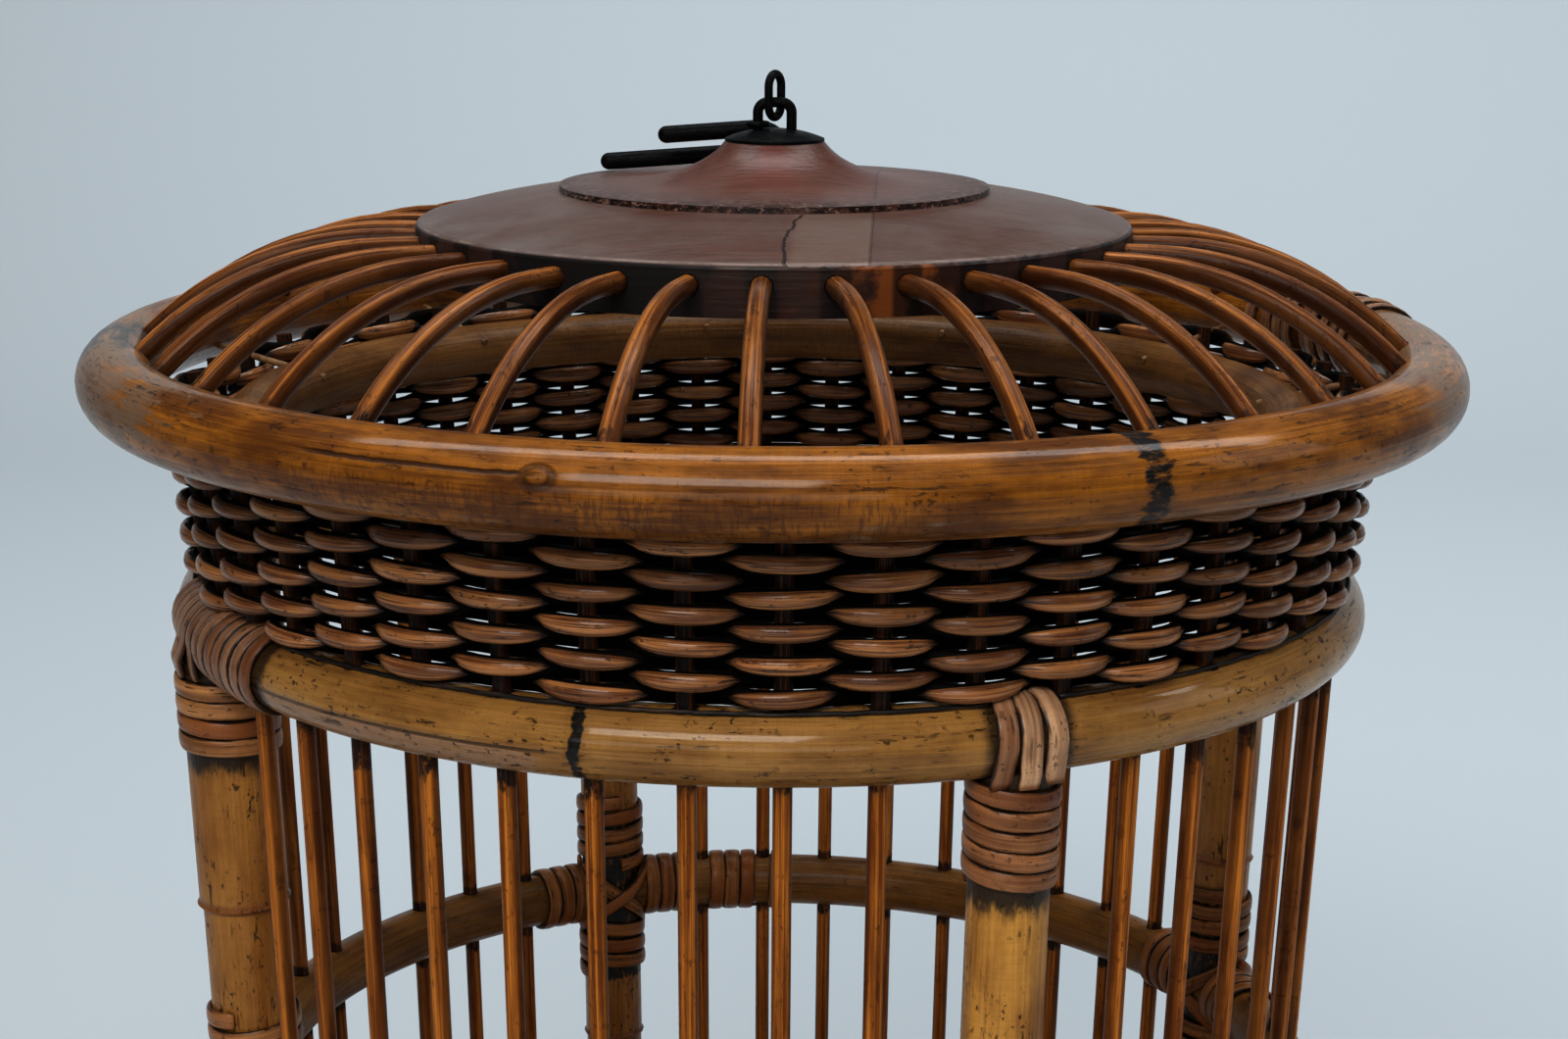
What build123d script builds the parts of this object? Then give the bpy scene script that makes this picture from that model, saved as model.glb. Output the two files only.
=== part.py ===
"""Round bamboo bird cage: bent bamboo hoops, split-bamboo bars, a woven band under a wide rim,
a turned wooden cap held up by bent spokes, a lifting door, and an iron link and hanging hook."""
from build123d import *
import math
import os

os.makedirs("parts", exist_ok=True)

# Clearances shared by every seat, drilled hole and overrunning cut.
seat_gap = 0.3
cut_over = 6.0

# Storeys, from the floor up: legs, lower and upper wall, and the woven band under the rim.
base_hoop_height = 52.0
lower_storey = 175.0
upper_storey = 175.0
band_rise = 78.0

# Bent bamboo hoops: radius of the bend where the wall stands on it, radius of the bamboo, and how
# far the rim and the inner hoop stay off the bars.
rim_tube = 12.8
rim_clearance = 5.6
inner_hoop_tube = 9.6
inner_hoop_clearance = 8.8
inner_hoop_drop = 19.0
lower_hoop_radius = 189.5
lower_hoop_tube = 11.4
mid_hoop_tube = 10.3
base_hoop_radius = 174.5
base_hoop_tube = 10.5
hoop_seam_share = 0.25

# Four posts; the one on the front right sets the azimuth of everything on the wall.
post_count = 4
first_post_azimuth = -68.3
post_names = ("front_right", "back_right", "back_left", "front_left")
post_top_radii = (12.0, 10.8, 11.7, 14.4)
post_foot_radii = (11.7, 10.5, 11.4, 13.4)
post_joint_rises = (-93.1, 52.8, -61.6, 84.3)
post_joint_ridge = 0.8
post_lip = 8.0

# Bars, one straight run below the lower hoop and one flared run through the woven band.
bar_radius = 2.8
bars_per_quarter = 11
bar_end_depth = 6.0
bar_bend_reach = 3.4
straight_share = 0.001
band_top_drop = 5.0
band_flare = 6.5

# Woven band.
strand_radius = 2.1
weave_row_pitch = 4.6
weave_row_count = 11
weave_top_drop = 15.0
base_strand_radius = 1.2
base_strand_angle = 51.0

# Pegs that pin the inner hoop, the stakes and the rim together.
peg_radius = 1.2
peg_every = 4
peg_inner_rise = 4.0
peg_outer_drop = 3.0
peg_rim_depth = 6.0

# Cane lashings.
cane_radius = 1.3
cane_post_pitch = 6.2
strap_width = 5.8
strap_thickness = 1.5
strap_pitch = 6.4
strap_count = 3
strap_end_angle = 30.0
strap_low_angle = -90.0
wraps_per_bar_gap = 3
wraps_per_spoke_gap = 4
post_top_turns = (5, 4, 4, 4)
post_wrap_start = 3.2
joint_wrap_start = 3.4
joint_turns_above = 4
joint_turns_below = 3
cross_length = 26.0
cross_angle = 40.0
front_left_hoop_turns = 6
joint_hoop_turns = 3
long_hoop_turns = 6
rim_wrap_turns = 7
rim_wrap_first_spoke = 9
rim_wrap_skipped = 2.5
inner_wrap_turns = 9
inner_wrap_azimuth = 199.5
winding_samples = 8

# Roof spokes, bent from split bamboo.
spoke_count = 34
first_spoke_azimuth = -91.5
spoke_radius = 3.25
spoke_lead = 11.5
spoke_bend_angle = 45.0
spoke_entry_gap = 0.5
spoke_cap_depth = 7.5
spoke_rim_depth = 6.0

# Turned wooden cap and the dished block on top of it.
cap_radius = 119.5
cap_spoke_height = 9.5
cap_wall_height = 14.5
cap_crown_height = 11.1
cap_shoulder = 2.4
cap_shoulder_angle = 60.0
cap_crown_shares = ((0.75, 0.35), (0.45, 0.66))
cap_wall_thickness = 14.0
cap_top_thickness = 9.0
dome_radius = 71.8
dome_edge = 2.0
dome_height = 16.2
dome_outline_shares = ((0.82, 0.042), (0.565, 0.155), (0.44, 0.317), (0.31, 0.627))
tenon_radius = 14.0
tenon_length = 9.0

# Iron fittings.
plate_radius = 16.6
plate_edge = 1.0
plate_crown = 3.2
plate_crown_shares = (0.6, 0.68)
staple_wire = 1.7
staple_corner_share = 0.6
staple_half_width = 5.6
staple_rise = 12.8
staple_depth = 15.0
link_wire = 1.4
link_half_width = 4.1
link_height = 17.0
link_turn = 60.0
link_lift = 2.3
hook_rod = 2.9
hook_bow_radius = 8.5
hook_upper_length = 29.0
hook_lower_length = 49.6
hook_tilt = 4.3
hook_bow_lean = 32.0
hook_bow_x = -8.0
hook_arm_y = 19.6
hook_arm_rise = 2.4
hook_neck_wire = 1.0
hook_eye_slack = 0.4
hook_eye_rise = 5.6
hook_swivel_range = 95.0

# Lifting door in the lower front wall.
door_first_bar_index = 36
door_span_count = 4
doorway_rise = 88.0
lintel_tube = 4.6
door_rail_tube = 3.5
door_rail_gap = 0.9
door_rail_overhang = 8.0
door_stick_radius = 2.0
door_stick_count = 7
door_stick_angle = 4.09
door_stick_depth = 2.4
door_staple_wire = 0.9
door_staple_slack = 1.1
door_top_gap = 0.8
door_travel = 66.0

# Floor and perches.
floor_thickness = 8.0
floor_overhang = 7.5
floor_bevel = 1.6
floor_peg_radius = 1.5
floor_peg_depth = 7.0
perch_radius = 5.5
perch_overhang = 7.0
perch_low_rise = 63.0
perch_low_bar_indices = (7, 31)
perch_high_rise = 108.0
perch_high_bar_indices = (12, 26)

# Values that follow from the sizes above.
bar_count = post_count * bars_per_quarter
bar_step = 360 / bar_count
spoke_step = 360 / spoke_count
quarter = 360 / post_count
mid_hoop_height = base_hoop_height + lower_storey
lower_hoop_height = mid_hoop_height + upper_storey
rim_height = lower_hoop_height + band_rise
lintel_height = base_hoop_height + doorway_rise
band_top_radius = lower_hoop_radius + band_flare
rim_radius = band_top_radius + bar_radius + rim_clearance + rim_tube
inner_hoop_radius = band_top_radius - bar_radius - inner_hoop_clearance - inner_hoop_tube
lean = (lower_hoop_radius - base_hoop_radius) / (lower_hoop_height - base_hoop_height)
band_top_height = rim_height - band_top_drop
flare = (band_top_radius - lower_hoop_radius) / (band_top_height - lower_hoop_height)
inner_hoop_height = rim_height - inner_hoop_drop
spoke_bend = math.radians(spoke_bend_angle)
spoke_entry = rim_tube + spoke_entry_gap
spoke_straight_to = cap_radius + spoke_lead
spoke_reach = rim_radius - spoke_entry * math.cos(spoke_bend)
spoke_bend_radius = (spoke_reach - spoke_straight_to) / math.sin(spoke_bend)
spoke_drop = spoke_bend_radius * (1 - math.cos(spoke_bend))
spoke_height = rim_height + spoke_entry * math.sin(spoke_bend) + spoke_drop
cap_bottom = spoke_height - cap_spoke_height
cap_top = cap_bottom + cap_wall_height + cap_crown_height
dome_top = cap_top + dome_height
plate_top = dome_top + plate_edge + plate_crown
staple_bar_height = dome_top + staple_rise
floor_top = base_hoop_height - base_hoop_tube - seat_gap
floor_bottom = floor_top - floor_thickness


def polar(radius, azimuth, height):
    turn = math.radians(azimuth)
    return Vector(radius * math.cos(turn), radius * math.sin(turn), height)


def wall_radius(height):
    """Radius of the circle on which the bars stand, at a height."""
    if height > lower_hoop_height:
        return lower_hoop_radius + flare * (height - lower_hoop_height)
    return lower_hoop_radius - lean * (lower_hoop_height - height)


def post_azimuth(index):
    return first_post_azimuth + quarter * index


def bar_azimuth(index):
    return first_post_azimuth + bar_step * (index + 0.5)


def spoke_azimuth(index):
    return first_spoke_azimuth + spoke_step * index


def disc_at(path, radius, side):
    """Round section at the start of a path, with its seam turned to one side."""
    return Plane(origin=path @ 0, x_dir=side, z_dir=path % 0) * Circle(radius)


def tube_along(path, radius, side=None):
    side = side or Vector(0, 0, 1).cross(path % 0)
    return Solid.sweep(disc_at(path, radius, side).face(), path)


def rod(start, end, radius):
    axis = end - start
    return Solid.make_cylinder(radius, axis.length, Plane(origin=start, z_dir=axis))


def hoop(radius, tube, height):
    """Closed ring of bent bamboo, its seam between two bars."""
    turn = first_post_azimuth + bar_step * hoop_seam_share
    return Pos(0, 0, height) * Rot(0, 0, turn) * Solid.make_torus(radius, tube)


def hoop_arc(radius, tube, height, start, end):
    """Stretch of a bent bamboo hoop between two azimuths."""
    middle = (start + end) / 2
    points = [polar(radius, azimuth, height) for azimuth in (start, middle, end)]
    return tube_along(Wire([ThreePointArc(*points)]), tube, polar(1, start, 0))


def cut(body, tools):
    """Cut tools out of a solid and keep it one solid."""
    left = body - tools
    left = left.solids()[0] if len(left.solids()) == 1 else left
    return left if left.is_valid else left.fix()


def write(name, solids):
    shapes = solids if isinstance(solids, list) else [solids]
    flat = [piece for shape in shapes for piece in shape.solids()]
    export_step(flat[0] if len(flat) == 1 else Compound(children=flat), f"parts/{name}.step")
    if not all(piece.is_valid and piece.volume > 0 for piece in flat):
        print("not valid:", name)


def bar(azimuth, top, foot, radius):
    """Split-bamboo stick: leaning below the lower hoop, flared through the woven band."""
    points = [polar(wall_radius(foot), azimuth, foot)]
    if foot < lower_hoop_height < top:
        points.append(polar(lower_hoop_radius, azimuth, lower_hoop_height))
    points.append(polar(wall_radius(top), azimuth, top))
    if len(points) == 2 or abs(flare - lean) < straight_share:
        return rod(points[0], points[-1], radius)
    half_turn = abs(math.atan(flare) - math.atan(lean)) / 2
    path = FilletPolyline(*points, radius=bar_bend_reach / math.tan(half_turn))
    return tube_along(Wire(path.edges()), radius, polar(1, azimuth, 0))


def full_bar_rows():
    """Every bar place, with the places beside a post and in the doorway told apart."""
    full, short, door = [], [], []
    for index in range(bar_count):
        place = index % bars_per_quarter
        if place in (0, bars_per_quarter - 1):
            short.append(index)
        elif door_first_bar_index < index < door_first_bar_index + door_span_count:
            door.append(index)
        else:
            full.append(index)
    return full, short, door


full_bars, short_bars, door_bars = full_bar_rows()
bar_foot = base_hoop_height - base_hoop_tube + bar_end_depth
short_foot = lower_hoop_height - lower_hoop_tube + bar_end_depth


def bar_holes():
    """Sticks a little thicker than the bars, to drill the hoops with."""
    bore = bar_radius + seat_gap
    holes = [bar(bar_azimuth(i), band_top_height, bar_foot - seat_gap, bore) for i in full_bars]
    holes += [bar(bar_azimuth(i), band_top_height, short_foot - seat_gap, bore) for i in short_bars]
    holes += [bar(bar_azimuth(i), band_top_height, lintel_foot - seat_gap, bore) for i in door_bars]
    return holes


lintel_foot = lintel_height - lintel_tube + bar_end_depth / 2
holes = bar_holes()


def peg_line(azimuth):
    start = polar(inner_hoop_radius - inner_hoop_tube, azimuth, inner_hoop_height + peg_inner_rise)
    end = polar(rim_radius, azimuth, rim_height - peg_outer_drop)
    along = (end - start).normalized()
    return start, end - along * (rim_tube - peg_rim_depth), along


peg_bars = range(0, bar_count, peg_every)


def peg_holes():
    tools = []
    for index in peg_bars:
        start, end, along = peg_line(bar_azimuth(index))
        tools.append(rod(start - along * cut_over, end + along * seat_gap, peg_radius + seat_gap / 2))
    return tools


peg_tools = peg_holes()


def spoke_path(azimuth, inside, beyond):
    """Line of a spoke: level out of the cap, bent down, straight into the middle of the rim."""
    half = spoke_bend / 2
    middle_r = spoke_straight_to + spoke_bend_radius * math.sin(half)
    middle_z = spoke_height - spoke_bend_radius * (1 - math.cos(half))
    start = polar(inside, azimuth, spoke_height)
    knee = polar(spoke_straight_to, azimuth, spoke_height)
    low = spoke_height - spoke_drop
    end = polar(spoke_reach, azimuth, low)
    tip = polar(spoke_reach + beyond * math.cos(spoke_bend), azimuth, low - beyond * math.sin(spoke_bend))
    arc = ThreePointArc(knee, polar(middle_r, azimuth, middle_z), end)
    return Wire([Line(start, knee), arc, Line(end, tip)]), end, tip


# Rim hoop, drilled for the spokes on top and for the pegs inside.
def make_rim():
    tools = list(peg_tools)
    for index in range(spoke_count):
        end, tip = spoke_path(spoke_azimuth(index), cap_radius - spoke_cap_depth, spoke_rim_depth)[1:]
        along = (tip - end).normalized()
        tools.append(rod(end - along * cut_over, tip + along * seat_gap, spoke_radius + seat_gap))
    return cut(hoop(rim_radius, rim_tube, rim_height), tools)


# Inner hoop, which clamps the top of the woven band against the rim.
def make_inner_hoop():
    return cut(hoop(inner_hoop_radius, inner_hoop_tube, inner_hoop_height), peg_tools)


def make_pegs():
    pegs = []
    for index in peg_bars:
        start, end, along = peg_line(bar_azimuth(index))
        pegs.append(rod(start, end, peg_radius))
    return pegs


# Bars and short stakes; every fourth one takes a peg.
def make_bars(indices, foot):
    bars = []
    for index in indices:
        stick = bar(bar_azimuth(index), band_top_height, foot, bar_radius)
        if index in peg_bars:
            stick = cut(stick, [peg_tools[index // peg_every]])
        bars.append(stick)
    return bars


# Woven band: each row is one closed strand, outside one stake and inside the next.
def weave_row(height, phase):
    radius = wall_radius(height)
    sway = bar_radius + seat_gap + strand_radius
    step = math.radians(bar_step)
    fall = 1 - math.cos(step)
    rise = 1 + math.cos(step)
    linear = 2 * sway * rise
    constant = radius ** 2 * fall + rise * sway ** 2
    bend = 2 * constant / (linear + math.sqrt(linear ** 2 + 4 * fall * constant))

    def centre(index):
        outside = (index + phase) % 2 == 0
        reach = radius + sway - bend if outside else radius - sway + bend
        return polar(reach, bar_azimuth(index), height), outside

    def crossing(index):
        here = centre(index)[0]
        return here + (centre(index + 1)[0] - here).normalized() * bend

    arcs = []
    for index in range(bar_count):
        middle, outside = centre(index)
        peak = radius + sway if outside else radius - sway
        arcs.append(ThreePointArc(crossing(index - 1), polar(peak, bar_azimuth(index), height),
                                  crossing(index)))
    return tube_along(Wire(arcs), strand_radius)


def make_weave():
    top = rim_height - weave_top_drop
    return [weave_row(top - weave_row_pitch * row, row) for row in range(weave_row_count)]


def make_base_strand():
    """Thin strand laid on the shoulder of the lower hoop, between the lashings."""
    reach = lower_hoop_tube + seat_gap + base_strand_radius
    out = lower_hoop_radius + reach * math.sin(math.radians(90 - base_strand_angle))
    up = lower_hoop_height + reach * math.sin(math.radians(base_strand_angle))
    edge = 1.5 * bar_step
    strands = []
    for index in range(post_count):
        long_side = bar_step * (front_left_hoop_turns / wraps_per_bar_gap) if index == 3 else 0
        start = post_azimuth(index) + edge + long_side
        strands.append(hoop_arc(out, base_strand_radius, up, start, post_azimuth(index + 1) - edge / 2))
    return strands


# Posts: bamboo poles with one swollen joint each, saddled under the lower hoop.
def post_axis():
    """Slope of a post, as the plane in which its outline is turned."""
    return math.degrees(math.atan(lean))


def post_frame(index):
    """Plane on a post's axis at floor level, its normal up the post."""
    azimuth = post_azimuth(index)
    foot = polar(wall_radius(0), azimuth, 0)
    up = (polar(wall_radius(lower_hoop_height), azimuth, lower_hoop_height) - foot).normalized()
    return Plane(origin=foot, x_dir=polar(1, azimuth, -lean), z_dir=up)


def make_post(index):
    low, high = post_foot_radii[index], post_top_radii[index]
    length = (lower_hoop_height - post_lip) / math.cos(math.radians(post_axis()))
    joint = mid_hoop_height / math.cos(math.radians(post_axis())) + post_joint_rises[index]
    ridge = post_joint_ridge
    points = [(0, -cut_over), (low, -cut_over), (low, joint - 2 * ridge), (low + ridge, joint - ridge),
              (high + ridge, joint), (high, joint + ridge), (high, length), (0, length)]
    outline = make_face(Plane.XZ * Polyline(*points, close=True))
    pole = post_frame(index).location * revolve(outline, Axis.Z)
    under = Box(4 * base_hoop_radius, 4 * base_hoop_radius, 4 * cut_over,
                align=(Align.CENTER, Align.CENTER, Align.MAX))
    saddle = hoop(lower_hoop_radius, lower_hoop_tube + seat_gap, lower_hoop_height)
    return cut(pole, [under, saddle])


def post_radius(index, height):
    joint = mid_hoop_height + post_joint_rises[index]
    return post_top_radii[index] if height > joint else post_foot_radii[index]


# Cane windings; each is one unbroken strand.
def quarter_turns(point, quarters):
    return Wire([ThreePointArc(point(k), point(k + 0.5), point(k + 1)) for k in range(quarters)])


def least_gap(line):
    """Least gap of a winding to itself, on points of its line at least half a turn apart."""
    points = [tuple(edge @ (part / winding_samples)) for edge in line.edges() for part in range(winding_samples)]
    apart = 2 * winding_samples
    return min(math.dist(here, there) for place, here in enumerate(points)
               for there in points[place + apart:]) - 2 * cane_radius


def wound(line, side=None):
    """Cane swept along a winding's line, with its loops and its least gap printed."""
    print("winding of", len(line.edges()) / 4, "loops, least gap to itself", round(least_gap(line), 2))
    return tube_along(line, cane_radius, side)


def post_winding(index, height, turns, direction):
    """Strand wound up or down round a post, from a height."""
    reach = post_radius(index, height) + seat_gap + cane_radius
    frame = post_frame(index)
    along = height / math.cos(math.radians(post_axis()))

    def point(k):
        turn = math.radians(90 * k)
        rise = along + direction * cane_post_pitch * k / 4
        return frame.from_local_coords(Vector(reach * math.cos(turn), reach * math.sin(turn), rise))

    return wound(quarter_turns(point, 4 * turns))


def hoop_winding(radius, tube, height, azimuth, step, turns):
    """Strand wound along a hoop, moving on only across the hoop's outer face."""
    reach = tube + seat_gap + cane_radius

    def point(k):
        full = math.floor(k / 4)
        within = min((k - 4 * full) / 2, 1)
        share = (1 - math.cos(math.pi * within)) / 2
        turn = math.radians(90 * k - 90)
        out = radius + reach * math.cos(turn)
        return polar(out, azimuth + step * (full + share), height + reach * math.sin(turn))

    return wound(quarter_turns(point, 4 * turns), polar(1, azimuth, 0))


def hoop_strap(azimuth):
    """Flat cane strap saddled over the lower hoop."""
    low, high = lower_hoop_tube + seat_gap, lower_hoop_tube + seat_gap + strap_thickness
    tangent = polar(1, azimuth + 90, 0)
    frame = Plane(origin=polar(lower_hoop_radius, azimuth, lower_hoop_height),
                  x_dir=polar(1, azimuth, 0), z_dir=tangent)

    def arc(reach):
        ends = [math.radians(turn) for turn in
                (strap_end_angle, strap_low_angle, 180 - strap_end_angle)]
        return ThreePointArc(*[(reach * math.cos(turn), reach * math.sin(turn)) for turn in ends])

    inner, outer = arc(low), arc(high)
    band = make_face([inner, outer, Line(inner @ 0, outer @ 0), Line(inner @ 1, outer @ 1)])
    return extrude(frame * band, amount=strap_width / 2, both=True)


def hoop_step(radius, spacing):
    return math.degrees(spacing / radius)


def make_post_lashing(index):
    turns = post_top_turns[index]
    start = lower_hoop_height - lower_hoop_tube - post_wrap_start
    pieces = [post_winding(index, start, turns, -1)]
    step = hoop_step(lower_hoop_radius, strap_pitch)
    for place in range(strap_count):
        pieces.append(hoop_strap(post_azimuth(index) + step * (place - (strap_count - 1) / 2)))
    return pieces


def cross_strips(index, height, side):
    """Two flat strips crossed over the joint of post and hoop, one laid on the other."""
    frame = post_frame(index)
    along = height / math.cos(math.radians(post_axis()))
    strips = []
    for layer, angle in enumerate((cross_angle, -cross_angle)):
        away = post_radius(index, height) + seat_gap + strap_thickness / 2
        away += layer * (strap_thickness + seat_gap)
        strip = Box(strap_thickness, cross_length, strap_width)
        placed = Location((side * away, 0, along)) * Rot(angle, 0, 0) * strip
        strips.append(frame.location * placed)
    return strips


def make_joint_lashing(index, height, tube, below_start, sides, turns_right):
    """Lashing where a hoop meets a post: windings above and below, and crossed strips."""
    pieces = [post_winding(index, height + tube + joint_wrap_start, joint_turns_above, 1),
              post_winding(index, below_start, joint_turns_below, -1)]
    for side in sides:
        pieces += cross_strips(index, height, side)
    step = bar_step / wraps_per_bar_gap
    if turns_right:
        first = bar_step * 1.5 - step * (joint_hoop_turns - 0.5)
        radius = wall_radius(height)
        right = post_azimuth(index) - first
        pieces.append(hoop_winding(radius, tube, height, right, -step, turns_right - 1))
        left = post_azimuth(index) + first
        pieces.append(hoop_winding(radius, tube, height, left, step, joint_hoop_turns - 1))
    return pieces


# Mid hoop and base hoop: arcs cut to fit between the posts, drilled for the bars.
def make_arc(index, height, tube):
    radius = wall_radius(height)
    arc = hoop_arc(radius, tube, height, post_azimuth(index), post_azimuth(index + 1))
    tools = []
    for side in (index, (index + 1) % post_count):
        foot = post_frame(side)
        reach = max(post_top_radii[side], post_foot_radii[side]) + seat_gap
        tools.append(foot.location * Solid.make_cylinder(reach, lower_hoop_height))
    near = range(bars_per_quarter * index, bars_per_quarter * (index + 1))
    tools += [holes[place] for place in drilled_order(near)]
    return cut(arc, tools + floor_peg_tools(index))


def drilled_order(indices):
    """Places of bars in the list of drilling tools."""
    order = full_bars + short_bars + door_bars
    return [order.index(i) for i in indices if i in full_bars or i in door_bars]


def floor_peg_azimuths(index):
    middle = post_azimuth(index) + quarter / 2
    return middle - 2.5 * bar_step, middle + 2.5 * bar_step


def floor_peg_tools(index):
    return [rod(polar(base_hoop_radius, azimuth, 0),
                polar(base_hoop_radius, azimuth, floor_top + floor_peg_depth + seat_gap),
                floor_peg_radius + seat_gap / 2) for azimuth in floor_peg_azimuths(index)]


def make_floor_pegs():
    pegs = []
    for index in range(post_count):
        for azimuth in floor_peg_azimuths(index):
            pegs.append(rod(polar(base_hoop_radius, azimuth, floor_bottom),
                            polar(base_hoop_radius, azimuth, floor_top + floor_peg_depth),
                            floor_peg_radius))
    return pegs


# Wooden floor, pegged up under the base hoop and notched round the posts.
def make_floor():
    radius = base_hoop_radius + floor_overhang
    bevel = floor_bevel
    outline = make_face(Plane.XZ * Polyline(
        (0, floor_bottom), (radius - bevel, floor_bottom), (radius, floor_bottom + bevel),
        (radius, floor_top - bevel), (radius - bevel, floor_top), (0, floor_top), close=True))
    board = revolve(outline, Axis.Z)
    tools = []
    for index in range(post_count):
        tools.append(post_frame(index).location
                     * Solid.make_cylinder(post_foot_radii[index] + seat_gap, lower_hoop_height))
        tools += floor_peg_tools(index)
    return cut(board, tools)


# Perches, threaded on a bar at each end.
def make_perch(height, first, second):
    radius = wall_radius(height)
    start = polar(radius, bar_azimuth(first), height)
    end = polar(radius, bar_azimuth(second), height)
    along = (end - start).normalized() * perch_overhang
    order = drilled_order((first, second))
    return cut(rod(start - along, end + along, perch_radius), [holes[place] for place in order])


# Roof: turned cap, dished block and spokes.
def make_cap():
    inner = cap_radius - cap_wall_thickness
    wall_top = cap_wall_height
    top = cap_wall_height + cap_crown_height
    shoulder = (cap_radius - cap_shoulder, wall_top + cap_shoulder * math.sin(math.radians(cap_shoulder_angle)))
    middle = (cap_radius - cap_shoulder * (1 - math.cos(math.radians(45))),
              wall_top + cap_shoulder / 2)
    crown = [shoulder]
    for out, up in cap_crown_shares:
        crown.append((dome_radius + (shoulder[0] - dome_radius) * out,
                      shoulder[1] + (top - shoulder[1]) * up))
    crown.append((dome_radius, top))
    under = top - cap_top_thickness
    bore = tenon_radius + seat_gap
    outline = Sketch() + make_face([
        Line((inner, 0), (cap_radius, 0)), Line((cap_radius, 0), (cap_radius, wall_top)),
        ThreePointArc((cap_radius, wall_top), middle, shoulder), Spline(*crown),
        Line(crown[-1], (bore, top)), Line((bore, top), (bore, under)),
        Line((bore, under), (inner - cap_shoulder, under)),
        Line((inner - cap_shoulder, under), (inner, under - cap_shoulder)),
        Line((inner, under - cap_shoulder), (inner, 0))])
    turned = Pos(0, 0, cap_bottom) * revolve(Plane.XZ * outline, Axis.Z)
    tools = []
    for index in range(spoke_count):
        start = polar(cap_radius - spoke_cap_depth - seat_gap, spoke_azimuth(index), spoke_height)
        end = polar(cap_radius + cut_over, spoke_azimuth(index), spoke_height)
        tools.append(rod(start, end, spoke_radius + seat_gap))
    return cut(turned, tools)


def make_dome():
    rim = (dome_radius, dome_edge)
    points = [rim]
    for out, up in dome_outline_shares:
        points.append((dome_radius * out, dome_edge + (dome_height - dome_edge) * up))
    points.append((plate_radius, dome_height))
    outline = make_face([
        Line((0, -tenon_length), (tenon_radius, -tenon_length)),
        Line((tenon_radius, -tenon_length), (tenon_radius, 0)),
        Line((tenon_radius, 0), (dome_radius, 0)), Line((dome_radius, 0), rim),
        Spline(*points), Line(points[-1], (0, dome_height)),
        Line((0, dome_height), (0, -tenon_length))])
    turned = Pos(0, 0, cap_top) * revolve(Plane.XZ * outline, Axis.Z)
    return cut(turned, staple_legs(staple_wire + seat_gap / 2, seat_gap))


def make_spokes():
    spokes = []
    for index in range(spoke_count):
        path = spoke_path(spoke_azimuth(index), cap_radius - spoke_cap_depth, spoke_rim_depth)[0]
        spokes.append(tube_along(path, spoke_radius, polar(1, spoke_azimuth(index) + 90, 0)))
    return spokes


# Iron fittings: plate, staple, link and hook.
def staple_legs(radius, deeper):
    return [rod(Vector(side * staple_half_width, 0, dome_top - staple_depth - deeper),
                Vector(side * staple_half_width, 0, staple_bar_height), radius) for side in (-1, 1)]


def make_plate():
    out, up = plate_crown_shares
    crown = ThreePointArc((plate_radius, plate_edge), (plate_radius * out, plate_edge + plate_crown * up),
                          (0, plate_edge + plate_crown))
    outline = make_face([Line((0, 0), (plate_radius, 0)), Line((plate_radius, 0), (plate_radius, plate_edge)),
                         crown, Line((0, plate_edge + plate_crown), (0, 0))])
    turned = Pos(0, 0, dome_top) * Rot(0, 0, 90) * revolve(Plane.XZ * outline, Axis.Z)
    return cut(turned, staple_legs(staple_wire + seat_gap / 2, seat_gap))


def make_staple():
    corner = staple_half_width * staple_corner_share
    foot = dome_top - staple_depth
    low_left = Vector(-staple_half_width, 0, foot)
    low_right = Vector(staple_half_width, 0, foot)
    top_left = Vector(-staple_half_width, 0, staple_bar_height)
    top_right = Vector(staple_half_width, 0, staple_bar_height)
    path = FilletPolyline(low_left, top_left, top_right, low_right, radius=corner)
    return tube_along(Wire(path.edges()), staple_wire, Vector(1, 0, 0))


def make_link():
    """Long oval link, upright in the staple and turned a little to the front."""
    reach = link_half_width
    half = link_height / 2 - link_wire - reach
    centre = plate_top + link_lift + link_height / 2
    frame = Plane(origin=(0, 0, centre), x_dir=polar(1, link_turn, 0), z_dir=polar(1, link_turn - 90, 0))
    corners = [(reach, -half), (reach, half), (-reach, half), (-reach, -half)]
    right = Line(corners[0], corners[1])
    top = ThreePointArc(corners[1], (0, half + reach), corners[2])
    left = Line(corners[2], corners[3])
    bottom = ThreePointArc(corners[3], (0, -half - reach), corners[0])
    path = Wire([frame * edge for edge in (right, top, left, bottom)])
    return tube_along(path, link_wire, frame.x_dir)


def hook_frame():
    """Plane of the hook: it lies back behind the dome, its arms pointing left."""
    tilt = math.radians(hook_tilt)
    lean_back = math.radians(hook_bow_lean)
    along = Vector(-math.cos(tilt), 0, -math.sin(tilt))
    across = Vector(0, math.cos(lean_back), -math.sin(lean_back))
    upper = Vector(hook_bow_x, hook_arm_y, dome_top + hook_arm_rise)
    return upper, along, across


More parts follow.
